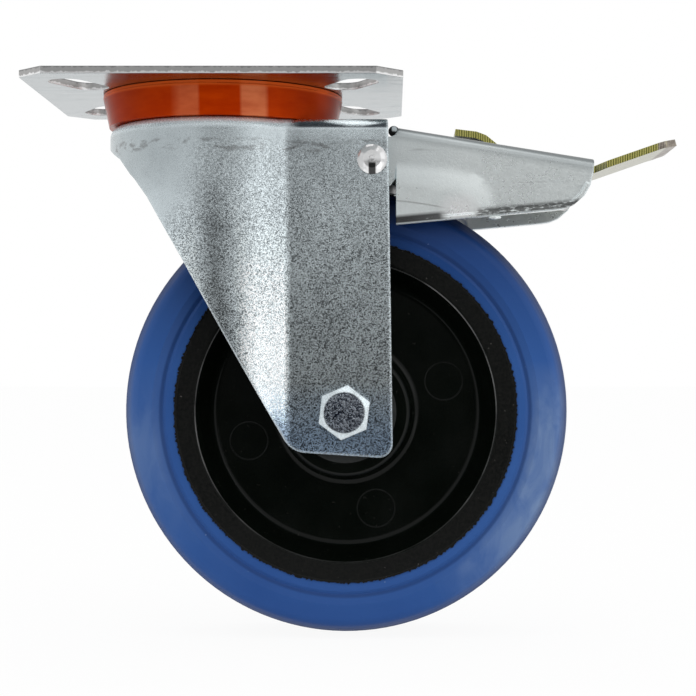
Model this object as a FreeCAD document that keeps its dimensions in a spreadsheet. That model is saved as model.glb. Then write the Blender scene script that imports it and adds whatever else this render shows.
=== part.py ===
import FreeCAD, Part
import math
import os

import Sketcher

# Swivel castor with a total-lock brake, in millimetres.
# Origin at the centre of the plate's top face, on the swivel axis. +Z up, +X towards the pedal.

Vector = FreeCAD.Vector
doc = FreeCAD.newDocument("Castor")
sheet = doc.addObject("Spreadsheet::Sheet", "Sizes")


class Size:
    """A number together with the sheet expression that gives it."""

    def __init__(self, value, text):
        self.value = float(value)
        self.text = text

    def joined(self, other, sign, value):
        return Size(value, "(" + self.text + " " + sign + " " + text_of(other) + ")")

    def __add__(self, other):
        return self.joined(other, "+", self.value + number_of(other))

    def __sub__(self, other):
        return self.joined(other, "-", self.value - number_of(other))

    def __mul__(self, other):
        return self.joined(other, "*", self.value * number_of(other))

    def __truediv__(self, other):
        return self.joined(other, "/", self.value / number_of(other))

    def __neg__(self):
        return Size(-self.value, "(0 - " + self.text + ")")


def number_of(item):
    return item.value if isinstance(item, Size) else float(item)


def text_of(item):
    return item.text if isinstance(item, Size) else repr(float(item))


row = 0


def size(name, value, meaning):
    """Write one driving dimension in the sheet and return it."""
    global row
    row += 1
    sheet.set("A%d" % row, meaning)
    sheet.set("B%d" % row, str(value))
    sheet.setAlias("B%d" % row, name)
    return Size(value, "Sizes." + name)


# Wheel
tyre_radius = size("tyre_radius", 62.5, "wheel radius over the tyre")
tyre_half = size("tyre_half", 18.0, "half the tyre's width")
core_radius = size("core_radius", 47.2, "core radius at the side face")
key_high = size("key_high", 2.8, "step of the core under the tyre")
rim_half = size("rim_half", 16.2, "half the rim's width")
rim_band = size("rim_band", 5.2, "width of the rim's flat band")
rim_slope = size("rim_slope", 4.4, "radial depth of the rim's inner wall")
web_half = size("web_half", 8.0, "half the web's thickness")
hub_radius = size("hub_radius", 17.8, "hub radius")
hub_half = size("hub_half", 20.5, "half the hub's length")
ejector_radius = size("ejector_radius", 5.3, "radius of the moulding marks on the web")
# Axle
bolt_radius = size("bolt_radius", 4.0, "axle bolt radius, M8")
bolt_clear = size("bolt_clear", 0.1, "play round the axle bolt")
hex_flats = size("hex_flats", 13.0, "across flats of bolt head and nut")
head_high = size("head_high", 5.3, "bolt head height")
nut_high = size("nut_high", 8.0, "lock nut height")
washer_radius = size("washer_radius", 8.0, "washer radius")
washer_thick = size("washer_thick", 1.6, "washer thickness")
tube_radius = size("tube_radius", 6.0, "axle tube outer radius")
roller_radius = size("roller_radius", 1.45, "roller radius")
roller_play = size("roller_play", 0.05, "play above and below a roller")
roller_long = size("roller_long", 30.0, "roller length")
# Place of the axle
trail = size("trail", 35.2, "swivel axis to axle")
axle_drop = size("axle_drop", 91.0, "plate top to axle")
# Plate
plate_long = size("plate_long", 102.0, "plate length")
plate_wide = size("plate_wide", 85.0, "plate width")
plate_thick = size("plate_thick", 2.0, "plate thickness")
plate_corner = size("plate_corner", 7.0, "clipped corner")
slot_radius = size("slot_radius", 5.0, "half the slot's width")
slot_in_x = size("slot_in_x", 34.6, "slot inner centre, x")
slot_in_y = size("slot_in_y", 20.0, "slot inner centre, y")
slot_out_x = size("slot_out_x", 39.4, "slot outer centre, x")
slot_out_y = size("slot_out_y", 28.8, "slot outer centre, y")
dish_radius = size("dish_radius", 19.0, "radius of the drawn-down middle")
dish_deep = size("dish_deep", 3.2, "depth of the drawn-down middle")
# Swivel bearing
pin_radius = size("pin_radius", 6.0, "kingpin radius")
pin_shoulder = size("pin_shoulder", 7.5, "kingpin shoulder radius")
big_ball = size("big_ball", 4.75, "upper ball radius")
big_pitch = size("big_pitch", 25.0, "upper ball circle radius")
small_ball = size("small_ball", 3.0, "lower ball radius")
small_pitch = size("small_pitch", 17.0, "lower ball circle radius")
ball_play = size("ball_play", 0.2, "race radius over ball radius")
race_thick = size("race_thick", 2.0, "lower race thickness")
lock_radius = size("lock_radius", 26.0, "lock ring outer radius")
lock_root = size("lock_root", 21.6, "lock ring radius at the foot of its slots")
lock_slot = size("lock_slot", 3.4, "lock ring slot width")
lock_thick = size("lock_thick", 2.0, "lock ring thickness")
# Fork
crown_drop = size("crown_drop", 11.2, "plate top to crown top")
fork_thick = size("fork_thick", 2.8, "fork sheet thickness")
crown_radius = size("crown_radius", 31.9, "radius of the round skirt")
leg_half = size("leg_half", 25.5, "half the width over the legs")
crown_bore = size("crown_bore", 10.0, "hole for the kingpin")
crown_bend = size("crown_bend", 3.0, "outer bend radius of the crown's edge")
rivet_radius = size("rivet_radius", 3.0, "cross rivet radius")
rivet_head = size("rivet_head", 4.05, "cross rivet head radius")
rivet_back = size("rivet_back", 7.45, "cross rivet behind the axle")
rivet_drop = size("rivet_drop", 11.2, "cross rivet below the crown's top")
# Brake
house_thick = size("house_thick", 2.0, "housing sheet thickness")
house_bend = size("house_bend", 2.4, "outer bend radius of the housing's top edges")
bulge_out = size("bulge_out", 0.9, "outward bulge of the housing's wall beside the tyre")
lip_out = size("lip_out", 1.3, "flare of the housing's lower edge")
lever_thick = size("lever_thick", 1.9, "lever sheet thickness")
lever_half = size("lever_half", 12.0, "half the lever's width")
pedal_half = size("pedal_half", 15.0, "half the pedal's width")
lever_x = size("lever_x", 84.0, "lever pin behind the swivel axis")
lever_z = size("lever_z", -27.0, "lever pin height")
lever_pin_radius = size("lever_pin_radius", 2.0, "lever pin radius")
pivot_play = size("pivot_play", 0.06, "radial play of the brake's pivots")
rocker_half = size("rocker_half", 11.5, "half the rocker's width")
pad_radius = size("pad_radius", 64.8, "radius of the brake pad's hollow face")

axle_z = -axle_drop
core_key_radius = core_radius + key_high
rim_inner = core_radius - rim_band
web_radius = rim_inner - rim_slope
ejector_pitch = hub_radius + (web_radius - hub_radius) * 0.545
wall = tyre_radius - core_radius
rivet_x = trail + rivet_back
rivet_z = -crown_drop - rivet_drop
crown_top = -crown_drop
crown_under = crown_top - fork_thick
leg_inner = leg_half - fork_thick
upper_ball_z = -6.6
lower_ball_z = -16.4
race_top = -18.6
doc.recompute()

bodies = []


def new_body(label):
    body = doc.addObject("PartDesign::Body", label)
    body.Label = label
    bodies.append(body)
    return body


def plane(body, role):
    return [item for item in body.Origin.OriginFeatures if item.Role == role][0]


def new_sketch(body, role, offset=None):
    """A sketch on one of the body's own origin planes, raised by offset along its normal."""
    sketch = body.newObject("Sketcher::SketchObject", body.Label + "_sketch")
    sketch.AttachmentSupport = [(plane(body, role), "")]
    sketch.MapMode = "FlatFace"
    if offset is not None:
        sketch.AttachmentOffset = FreeCAD.Placement(Vector(0, 0, number_of(offset)), FreeCAD.Rotation())
        sketch.setExpression("AttachmentOffset.Base.z", text_of(offset))
    return sketch


def tie(sketch, kind, geometry, point, item):
    index = sketch.addConstraint(Sketcher.Constraint(kind, -1, 1, geometry, point, number_of(item)))
    if isinstance(item, Size):
        sketch.setExpression("Constraints[%d]" % index, item.text)


def outline(sketch, points):
    """A closed chain of lines through the points, each corner tied to the origin."""
    first = sketch.GeometryCount
    places = [Vector(number_of(x), number_of(y), 0) for x, y in points]
    count = len(places)
    for i in range(count):
        sketch.addGeometry(Part.LineSegment(places[i], places[(i + 1) % count]))
    for i in range(count):
        sketch.addConstraint(Sketcher.Constraint("Coincident", first + i, 2, first + (i + 1) % count, 1))
    for i, (x, y) in enumerate(points):
        tie(sketch, "DistanceX", first + i, 1, x)
        tie(sketch, "DistanceY", first + i, 1, y)
    return first


def circle(sketch, x, y, radius):
    centre = Vector(number_of(x), number_of(y), 0)
    index = sketch.addGeometry(Part.Circle(centre, Vector(0, 0, 1), number_of(radius)))
    rule = sketch.addConstraint(Sketcher.Constraint("Radius", index, number_of(radius)))
    if isinstance(radius, Size):
        sketch.setExpression("Constraints[%d]" % rule, radius.text)
    tie(sketch, "DistanceX", index, 3, x)
    tie(sketch, "DistanceY", index, 3, y)
    return index


def feature(body, kind, sketch, **settings):
    """One PartDesign feature; settings that are sizes are bound to the sheet."""
    item = body.newObject("PartDesign::" + kind, body.Label + "_" + kind.lower())
    item.Profile = sketch
    for name, value in settings.items():
        if isinstance(value, Size):
            setattr(item, name, value.value)
            item.setExpression(name, value.text)
        else:
            setattr(item, name, value)
    sketch.Visibility = False
    doc.recompute()
    return item


def pad(body, sketch, length, both=False, back=False):
    side = "Symmetric" if both else "One side"
    return feature(body, "Pad", sketch, Length=length, SideType=side, Reversed=back)


def cut(body, sketch, length, both=False, back=False):
    """A pocket that must take something off."""
    before = body.Shape.Volume
    side = "Symmetric" if both else "One side"
    item = feature(body, "Pocket", sketch, Length=length, SideType=side, Reversed=back)
    if not body.Shape.Volume < before - 1e-3:
        raise RuntimeError(body.Label + ": a pocket cut nothing")
    return item


def turned(body, sketch, kind="Revolution"):
    """A full turn about the sketch's upright axis."""
    before = body.Shape.Volume if kind == "Groove" else 0.0
    item = feature(body, kind, sketch, ReferenceAxis=(sketch, ["V_Axis"]), Angle=360.0)
    if kind == "Groove" and not body.Shape.Volume < before - 1e-3:
        raise RuntimeError(body.Label + ": a groove cut nothing")
    return item


def dress(body, kind, radius, wanted):
    """Fillet or chamfer the edges of the tip for which wanted(edge) holds."""
    base = body.Tip
    names = ["Edge%d" % (i + 1) for i, edge in enumerate(base.Shape.Edges) if wanted(edge)]
    if not names:
        raise RuntimeError(body.Label + ": no edge to dress")
    item = body.newObject("PartDesign::" + kind, body.Label + "_" + kind.lower())
    item.Base = (base, names)
    name = "Radius" if kind == "Fillet" else "Size"
    setattr(item, name, number_of(radius))
    if isinstance(radius, Size):
        item.setExpression(name, radius.text)
    doc.recompute()
    if "Invalid" in item.State or item.Shape.isNull():
        raise RuntimeError(body.Label + ": an edge could not be dressed")
    return item


def along(edge, direction):
    """Whether an edge is straight and runs along the direction."""
    if edge.Curve.TypeId != "Part::GeomLine":
        return False
    return abs(edge.Curve.Direction.dot(direction)) > 0.999


def ring_edge(edge, radius, height):
    """Whether an edge is a circle of this radius about the upright axis at this height."""
    if edge.Curve.TypeId != "Part::GeomCircle":
        return False
    same = abs(edge.Curve.Radius - number_of(radius)) < 0.02
    return same and abs(edge.Curve.Center.z - number_of(height)) < 0.02


def polar(body, item, count, axis_sketch):
    """Repeat a feature evenly round the axis of its sketch."""
    pattern = body.newObject("PartDesign::PolarPattern", body.Label + "_pattern")
    pattern.Originals = [item]
    pattern.Axis = (axis_sketch, ["N_Axis"])
    pattern.Angle = 360.0
    pattern.Occurrences = count
    body.Tip = pattern
    doc.recompute()
    return pattern


def on_axle(body):
    """Turn a body drawn about its own upright axis onto the axle; its top faces the near side."""
    body.Placement = FreeCAD.Placement(
        Vector(trail.value, 0, axle_z.value), FreeCAD.Rotation(Vector(1, 0, 0), 90)
    )
    body.setExpression("Placement.Base.x", trail.text)
    body.setExpression("Placement.Base.z", axle_z.text)


# Top plate: sheet blank with clipped corners, middle drawn down, ball race, four diagonal slots
plate = new_body("top_plate")
half_long = plate_long / 2
half_wide = plate_wide / 2
blank = new_sketch(plate, "XY_Plane")
outline(blank, [
    (half_long, plate_corner - half_wide),
    (half_long, half_wide - plate_corner),
    (half_long - plate_corner, half_wide),
    (plate_corner - half_long, half_wide),
    (-half_long, half_wide - plate_corner),
    (-half_long, plate_corner - half_wide),
    (plate_corner - half_long, -half_wide),
    (half_long - plate_corner, -half_wide),
])
pad(plate, blank, plate_thick, back=True)
dish = new_sketch(plate, "XZ_Plane")
outline(dish, [
    (0.0, -1.0),
    (dish_radius + 0.8, -1.0),
    (dish_radius + 0.8, -plate_thick),
    (dish_radius - 2.2, -plate_thick - dish_deep),
    (0.0, -plate_thick - dish_deep),
])
turned(plate, dish)
hollow = new_sketch(plate, "XZ_Plane")
outline(hollow, [
    (0.0, 1.0),
    (dish_radius, 1.0),
    (dish_radius, 0.0),
    (dish_radius - 3.0, -dish_deep),
    (0.0, -dish_deep),
])
turned(plate, hollow, "Groove")
race = new_sketch(plate, "XZ_Plane")
circle(race, big_pitch, upper_ball_z, big_ball + ball_play)
turned(plate, race, "Groove")
pin_hole = new_sketch(plate, "XY_Plane")
circle(pin_hole, 0.0, 0.0, pin_radius)
cut(plate, pin_hole, 12.0)
slots = new_sketch(plate, "XY_Plane")
for side_x in (1, -1):
    for side_y in (1, -1):
        inner = Vector(side_x * slot_in_x.value, side_y * slot_in_y.value, 0)
        outer = Vector(side_x * slot_out_x.value, side_y * slot_out_y.value, 0)
        run = outer - inner
        turn = math.atan2(run.y, run.x)
        first = slots.GeometryCount
        upright = Vector(0, 0, 1)
        outer_ring = Part.Circle(outer, upright, slot_radius.value)
        inner_ring = Part.Circle(inner, upright, slot_radius.value)
        slots.addGeometry(Part.ArcOfCircle(outer_ring, turn - math.pi / 2, turn + math.pi / 2))
        slots.addGeometry(Part.ArcOfCircle(inner_ring, turn + math.pi / 2, turn + 3 * math.pi / 2))
        for a, b in ((first, first + 1), (first + 1, first)):
            start = slots.getPoint(a, 2)
            end = slots.getPoint(b, 1)
            line = slots.addGeometry(Part.LineSegment(start, end))
            slots.addConstraint(Sketcher.Constraint("Tangent", a, 2, line, 1))
            slots.addConstraint(Sketcher.Constraint("Tangent", line, 2, b, 1))
        rule = slots.addConstraint(Sketcher.Constraint("Radius", first, slot_radius.value))
        slots.setExpression("Constraints[%d]" % rule, slot_radius.text)
        tie(slots, "DistanceX", first, 3, slot_out_x * side_x)
        tie(slots, "DistanceY", first, 3, slot_out_y * side_y)
        tie(slots, "DistanceX", first + 1, 3, slot_in_x * side_x)
        tie(slots, "DistanceY", first + 1, 3, slot_in_y * side_y)
cut(plate, slots, 12.0)

# Kingpin: shouldered pin, upset over the dished plate and under the lock ring
kingpin = new_body("kingpin")
pin_profile = new_sketch(kingpin, "XZ_Plane")
race_under = -race_thick + race_top
lock_under = race_under - lock_thick
outline(pin_profile, [
    (0.0, -0.6),
    (7.5, -0.8),
    (9.4, -2.0),
    (9.8, -dish_deep),
    (pin_radius, -dish_deep),
    (pin_radius, -plate_thick - dish_deep),
    (pin_shoulder, -plate_thick - dish_deep),
    (pin_shoulder, race_top),
    (pin_radius, race_top),
    (pin_radius, lock_under),
    (9.6, lock_under),
    (9.0, lock_under - 1.9),
    (7.0, lock_under - 2.9),
    (0.0, lock_under - 3.2),
])
turned(kingpin, pin_profile)

# Lower race: pressed ring with a ball track and an upturned lip
lower_race = new_body("lower_race")
race_profile = new_sketch(lower_race, "XZ_Plane")
outline(race_profile, [
    (pin_radius, race_top),
    (20.6, race_top),
    (20.6, race_top + 3.4),
    (22.0, race_top + 3.4),
    (22.0, race_under),
    (pin_radius, race_under),
])
turned(lower_race, race_profile)
track = new_sketch(lower_race, "XZ_Plane")
circle(track, small_pitch, lower_ball_z, small_ball + ball_play)
turned(lower_race, track, "Groove")

# Lock ring: slotted disc that holds the swivel when the rocker's nose rises into it
lock_ring = new_body("lock_ring")
ring_disc = new_sketch(lock_ring, "XY_Plane", race_under)
circle(ring_disc, 0.0, 0.0, lock_radius)
circle(ring_disc, 0.0, 0.0, pin_radius)
pad(lock_ring, ring_disc, lock_thick, back=True)
one_slot = new_sketch(lock_ring, "XY_Plane", race_under)
outline(one_slot, [
    (lock_root, -lock_slot / 2),
    (lock_radius + 2, -lock_slot / 2),
    (lock_radius + 2, lock_slot / 2),
    (lock_root, lock_slot / 2),
])
slot_cut = cut(lock_ring, one_slot, lock_thick)
polar(lock_ring, slot_cut, 24, one_slot)


# Ball rows: one turned ball and a ring of copies
def ball_row(label, pitch, height, radius, count):
    body = new_body(label)
    sketch = new_sketch(body, "XZ_Plane")
    circle_at = Vector(0, height, 0)
    ring = Part.Circle(circle_at, Vector(0, 0, 1), radius.value)
    sketch.addGeometry(Part.ArcOfCircle(ring, -math.pi / 2, math.pi / 2))
    sketch.addGeometry(Part.LineSegment(Vector(0, height + radius.value, 0), Vector(0, height - radius.value, 0)))
    sketch.addConstraint(Sketcher.Constraint("Coincident", 0, 2, 1, 1))
    sketch.addConstraint(Sketcher.Constraint("Coincident", 1, 2, 0, 1))
    sketch.addConstraint(Sketcher.Constraint("PointOnObject", 0, 3, -2))
    sketch.addConstraint(Sketcher.Constraint("PointOnObject", 0, 1, -2))
    sketch.addConstraint(Sketcher.Constraint("PointOnObject", 0, 2, -2))
    tie(sketch, "DistanceY", 0, 3, height)
    rule = sketch.addConstraint(Sketcher.Constraint("Radius", 0, radius.value))
    sketch.setExpression("Constraints[%d]" % rule, radius.text)
    turned(body, sketch)
    group = doc.addObject("Part::Feature", label + "_ring")
    copies = []
    for i in range(count):
        turn = 2 * math.pi * i / count
        ball = body.Shape.copy()
        ball.translate(Vector(pitch.value * math.cos(turn), pitch.value * math.sin(turn), 0))
        copies.append(ball)
    group.Shape = Part.makeCompound(copies)
    body.Label = label + "_one"
    group.Label = label
    bodies[bodies.index(body)] = group
    return group


ball_row("upper_balls", big_pitch, upper_ball_z, big_ball, 15)
ball_row("lower_balls", small_pitch, lower_ball_z, small_ball, 16)

# Fork: deep-drawn cup with a round skirt in front and two flat legs to the axle
fork = new_body("fork")
leg_start = math.sqrt(crown_radius.value ** 2 - leg_half.value ** 2)
leg_rear = trail + 13.2


def fork_plan(sketch, radius, half, rear, start):
    """Round front of the given radius about the swivel axis, straight sides to the rear."""
    turn = math.atan2(half.value, start)
    ring = Part.Circle(Vector(0, 0, 0), Vector(0, 0, 1), radius.value)
    arc = sketch.addGeometry(Part.ArcOfCircle(ring, turn, 2 * math.pi - turn))
    corners = [
        Vector(start, -half.value, 0),
        Vector(rear.value, -half.value, 0),
        Vector(rear.value, half.value, 0),
        Vector(start, half.value, 0),
    ]
    near = sketch.addGeometry(Part.LineSegment(corners[0], corners[1]))
    back = sketch.addGeometry(Part.LineSegment(corners[1], corners[2]))
    far = sketch.addGeometry(Part.LineSegment(corners[2], corners[3]))
    for a, b in ((arc, near), (near, back), (back, far), (far, arc)):
        sketch.addConstraint(Sketcher.Constraint("Coincident", a, 2, b, 1))
    sketch.addConstraint(Sketcher.Constraint("Coincident", arc, 3, -1, 1))
    rule = sketch.addConstraint(Sketcher.Constraint("Radius", arc, radius.value))
    sketch.setExpression("Constraints[%d]" % rule, radius.text)
    sketch.addConstraint(Sketcher.Constraint("Horizontal", near))
    sketch.addConstraint(Sketcher.Constraint("Horizontal", far))
    tie(sketch, "DistanceY", back, 1, -half)
    tie(sketch, "DistanceY", back, 2, half)
    tie(sketch, "DistanceX", back, 1, rear)
    tie(sketch, "DistanceX", back, 2, rear)


outer_plan = new_sketch(fork, "XY_Plane", crown_top)
fork_plan(outer_plan, crown_radius, leg_half, leg_rear, leg_start)
pad(fork, outer_plan, axle_drop - crown_drop + 13.7, back=True)
upright = Vector(0, 0, 1)
dress(fork, "Fillet", 6.0, lambda e: along(e, upright) and e.CenterOfMass.x < leg_rear.value - 1)
dress(
    fork,
    "Fillet",
    crown_bend,
    lambda e: abs(e.CenterOfMass.z - crown_top.value) < 0.01 and not along(e, Vector(0, 1, 0)),
)
inner_plan = new_sketch(fork, "XY_Plane", crown_under)
inner_radius = crown_radius - fork_thick
inner_start = math.sqrt(inner_radius.value ** 2 - leg_inner.value ** 2)
fork_plan(inner_plan, inner_radius, leg_inner, leg_rear + 12.0, inner_start)
cut(fork, inner_plan, axle_drop + 10.0)
trim = new_sketch(fork, "XZ_Plane")
outline(trim, [
    (-60.0, -16.8),
    (trail - 67.4, crown_top - 5.6),
    (trail - 66.4, crown_top - 6.7),
    (trail - 64.2, crown_top - 8.7),
    (trail - 62.5, crown_top - 9.9),
    (trail - 58.9, crown_top - 14.7),
    (trail - 57.4, crown_top - 16.3),
    (trail - 53.6, crown_top - 21.4),
    (trail - 43.1, crown_top - 39.3),
    (trail - 14.6, axle_z - 10.8),
    (trail + 13.1, axle_z - 12.6),
    (trail + 11.7, crown_top + 3.7),
    (trail + 40.0, crown_top + 3.7),
    (trail + 40.0, axle_z - 60.0),
    (-60.0, axle_z - 60.0),
])
cut(fork, trim, 80.0, both=True)


def leg_corner(edge, x, z):
    centre = edge.CenterOfMass
    near = abs(centre.x - number_of(x)) < 1.0 and abs(centre.z - number_of(z)) < 1.0
    return near and along(edge, Vector(0, 1, 0))


dress(fork, "Fillet", 3.8, lambda e: leg_corner(e, trail + 13.1, axle_z - 12.6))
dress(fork, "Fillet", 7.0, lambda e: leg_corner(e, trail - 14.6, axle_z - 10.8))
king_hole = new_sketch(fork, "XY_Plane")
circle(king_hole, 0.0, 0.0, crown_bore)
cut(fork, king_hole, 30.0)
upper_track = new_sketch(fork, "XZ_Plane")
circle(upper_track, big_pitch, upper_ball_z, big_ball + ball_play)
turned(fork, upper_track, "Groove")
under_track = new_sketch(fork, "XZ_Plane")
circle(under_track, small_pitch, lower_ball_z, small_ball + ball_play)
turned(fork, under_track, "Groove")
leg_holes = new_sketch(fork, "XZ_Plane")
circle(leg_holes, trail, axle_z, bolt_radius + bolt_clear)
circle(leg_holes, rivet_x, rivet_z, rivet_radius)
cut(fork, leg_holes, 80.0, both=True)

# Seal ring: orange plastic cone that sits on the crown and covers the ball race
seal_ring = new_body("seal_ring")
seal_profile = new_sketch(seal_ring, "XZ_Plane")
outline(seal_profile, [
    (28.4, crown_top),
    (32.2, crown_top),
    (34.0, -2.6),
    (32.8, -2.6),
    (31.0, crown_top + 0.8),
    (28.4, crown_top + 0.8),
])
turned(seal_ring, seal_profile)
dress(seal_ring, "Fillet", 0.5, lambda e: ring_edge(e, 34.0, -2.6))

# Wheel core: black nylon, rim and hub joined by a flat web on the middle plane
core = new_body("wheel_core")
seat_radius = tube_radius + roller_radius * 2 + roller_play * 2
seal_seat = 14.0
core_profile = new_sketch(core, "XZ_Plane")
outline(core_profile, [
    (seat_radius, hub_half - 1.6),
    (seal_seat, hub_half - 1.6),
    (seal_seat, hub_half),
    (hub_radius - 0.9, hub_half),
    (hub_radius, hub_half - 0.9),
    (hub_radius + 0.5, web_half),
    (web_radius, web_half),
    (rim_inner - 0.7, rim_half - 0.7),
    (rim_inner, rim_half),
    (core_radius, rim_half),
    (core_radius, rim_half - 4.0),
    (core_key_radius, rim_half - 5.5),
    (core_key_radius, -rim_half + 5.5),
    (core_radius, -rim_half + 4.0),
    (core_radius, -rim_half),
    (rim_inner, -rim_half),
    (rim_inner - 0.7, -rim_half + 0.7),
    (web_radius, -web_half),
    (hub_radius + 0.5, -web_half),
    (hub_radius, -hub_half + 0.9),
    (hub_radius - 0.9, -hub_half),
    (seal_seat, -hub_half),
    (seal_seat, -hub_half + 1.6),
    (seat_radius, -hub_half + 1.6),
])
turned(core, core_profile)
dress(
    core,
    "Fillet",
    2.6,
    lambda e: ring_edge(e, web_radius, web_half)
    or ring_edge(e, web_radius, -web_half)
    or ring_edge(e, hub_radius + 0.5, web_half)
    or ring_edge(e, hub_radius + 0.5, -web_half),
)
for side in (1, -1):
    for angle in (17.0, 107.0, 197.0, 287.0):
        mark = new_sketch(core, "XY_Plane", web_half * side)
        mark_x = ejector_pitch * math.cos(math.radians(angle))
        mark_y = ejector_pitch * math.sin(math.radians(angle))
        circle(mark, mark_x, mark_y, ejector_radius)
        cut(core, mark, 0.3, back=(side < 0))
on_axle(core)

# Tyre: blue elastic rubber moulded on the core, with a domed tread
tyre = new_body("tyre")
tyre_profile = new_sketch(tyre, "XZ_Plane")
outline(tyre_profile, [
    (core_radius, rim_half),
    (core_radius + wall * 0.16, rim_half + 0.5),
    (core_radius + wall * 0.21, rim_half + 0.2),
    (core_radius + wall * 0.27, rim_half + 0.9),
    (core_radius + wall * 0.4, tyre_half),
    (tyre_radius - wall * 0.24, tyre_half - 0.4),
    (tyre_radius - wall * 0.144, tyre_half - 3.2),
    (tyre_radius - wall * 0.085, tyre_half - 6.5),
    (tyre_radius - wall * 0.033, tyre_half - 11.0),
    (tyre_radius, tyre_half - 16.0),
    (tyre_radius, -tyre_half + 16.0),
    (tyre_radius - wall * 0.033, -tyre_half + 11.0),
    (tyre_radius - wall * 0.085, -tyre_half + 6.5),
    (tyre_radius - wall * 0.144, -tyre_half + 3.2),
    (tyre_radius - wall * 0.24, -tyre_half + 0.4),
    (core_radius + wall * 0.4, -tyre_half),
    (core_radius + wall * 0.27, -rim_half - 0.9),
    (core_radius + wall * 0.21, -rim_half - 0.2),
    (core_radius + wall * 0.16, -rim_half - 0.5),
    (core_radius, -rim_half),
    (core_radius, -rim_half + 4.0),
    (core_key_radius, -rim_half + 5.5),
    (core_key_radius, rim_half - 5.5),
    (core_radius, rim_half - 4.0),
])
turned(tyre, tyre_profile)
dress(
    tyre,
    "Fillet",
    wall * 0.18,
    lambda e: ring_edge(e, tyre_radius - wall * 0.24, tyre_half - 0.4)
    or ring_edge(e, tyre_radius - wall * 0.24, -tyre_half + 0.4),
)
dress(
    tyre,
    "Fillet",
    tyre_half * 0.3,
    lambda e: any(
        ring_edge(e, tyre_radius - wall * low, (tyre_half - inset) * side)
        for side in (1, -1)
        for low, inset in ((0.144, 3.2), (0.085, 6.5), (0.033, 11.0), (0.0, 16.0))
    ),
)
on_axle(tyre)

# Hub seals: grey discs pressed into the hub's ends
hub_seals = new_body("hub_seals")
for side in (1, -1):
    disc = new_sketch(hub_seals, "XY_Plane", (hub_half - 1.6) * side)
    circle(disc, 0.0, 0.0, seal_seat)
    circle(disc, 0.0, 0.0, tube_radius + bolt_clear)
    item = doc.addObject("Part::Extrusion", "seal_%d" % (side + 1))
    item.Base = disc
    item.DirMode = "Custom"
    item.Dir = Vector(0, 0, side)
    item.Solid = True
    item.LengthFwd = 2.0
    doc.recompute()
    disc.Visibility = False
seal_pair = doc.addObject("Part::Compound", "hub_seal_pair")
seal_pair.Links = [doc.getObject("seal_2"), doc.getObject("seal_0")]
bodies[bodies.index(hub_seals)] = seal_pair
hub_seals.Label = "hub_seal_sketches"
seal_pair.Label = "hub_seals"
on_axle(seal_pair)

# Roller cage: plastic sleeve with a window for each roller
cage = new_body("roller_cage")
cage_plan = new_sketch(cage, "XY_Plane")
circle(cage_plan, 0.0, 0.0, tube_radius + 2.3)
circle(cage_plan, 0.0, 0.0, tube_radius + 0.7)
pad(cage, cage_plan, roller_long + 5, both=True)
window = new_sketch(cage, "XZ_Plane")
outline(window, [
    (-roller_radius - roller_play, -roller_long / 2 - roller_play),
    (roller_radius + roller_play, -roller_long / 2 - roller_play),
    (roller_radius + roller_play, roller_long / 2 + roller_play),
    (-roller_radius - roller_play, roller_long / 2 + roller_play),
])
window_cut = cut(cage, window, 12.0)
spin_axis = new_sketch(cage, "XY_Plane")
polar(cage, window_cut, 12, spin_axis)
on_axle(cage)

# Rollers: twelve steel needles between axle tube and hub
roller = doc.addObject("Part::Cylinder", "roller")
roller.Radius = roller_radius.value
roller.setExpression("Radius", roller_radius.text)
roller.Height = roller_long.value
roller.setExpression("Height", roller_long.text)
roller_pitch = tube_radius + roller_play + roller_radius
roller.Placement = FreeCAD.Placement(
    Vector(0, -roller_pitch.value, -roller_long.value / 2), FreeCAD.Rotation()
)
doc.recompute()
rollers = doc.addObject("Part::Feature", "roller_ring")
needles = []
for i in range(12):
    needle = roller.Shape.copy()
    needle.rotate(Vector(0, 0, 0), Vector(0, 0, 1), 30.0 * i)
    needles.append(needle)
rollers.Shape = Part.makeCompound(needles)
rollers.Label = "rollers"
on_axle(rollers)
bodies.append(rollers)

# Axle tube: steel sleeve clamped between the legs
tube = new_body("axle_tube")
tube_plan = new_sketch(tube, "XY_Plane")
circle(tube_plan, 0.0, 0.0, tube_radius)
circle(tube_plan, 0.0, 0.0, bolt_radius + bolt_clear)
pad(tube, tube_plan, leg_inner * 2, both=True)
on_axle(tube)


def hexagon(sketch, flats, turn):
    """A hexagon about the origin, one corner at the given angle."""
    corner = flats.value / 2 / math.cos(math.pi / 6)
    places = []
    for i in range(6):
        angle = math.radians(turn + 60.0 * i)
        places.append(Vector(corner * math.cos(angle), corner * math.sin(angle), 0))
    for i in range(6):
        sketch.addGeometry(Part.LineSegment(places[i], places[(i + 1) % 6]))
    for i in range(6):
        sketch.addConstraint(Sketcher.Constraint("Coincident", i, 2, (i + 1) % 6, 1))
    share = 1 / math.sqrt(3)
    for i in range(6):
        angle = math.radians(turn + 60.0 * i)
        tie(sketch, "DistanceX", i, 1, flats * (share * math.cos(angle)))
        tie(sketch, "DistanceY", i, 1, flats * (share * math.sin(angle)))


# Axle bolt: hexagon head against the near leg, shank through tube and nut
bolt = new_body("axle_bolt")
head_plan = new_sketch(bolt, "XY_Plane", leg_half)
hexagon(head_plan, hex_flats, 83.0)
pad(bolt, head_plan, head_high)
shank_plan = new_sketch(bolt, "XY_Plane", leg_half)
circle(shank_plan, 0.0, 0.0, bolt_radius)
shank_long = leg_half * 2 + washer_thick + nut_high + 1.5
pad(bolt, shank_plan, shank_long, back=True)
head_top = leg_half + head_high
bevel = new_sketch(bolt, "XZ_Plane")
outline(bevel, [
    (5.6, head_top),
    (9.0, head_top - 1.9),
    (9.0, head_top + 1.0),
    (5.6, head_top + 1.0),
])
turned(bolt, bevel, "Groove")
shank_end = leg_half - shank_long
dress(bolt, "Chamfer", 0.8, lambda e: ring_edge(e, bolt_radius, shank_end))
on_axle(bolt)

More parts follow.
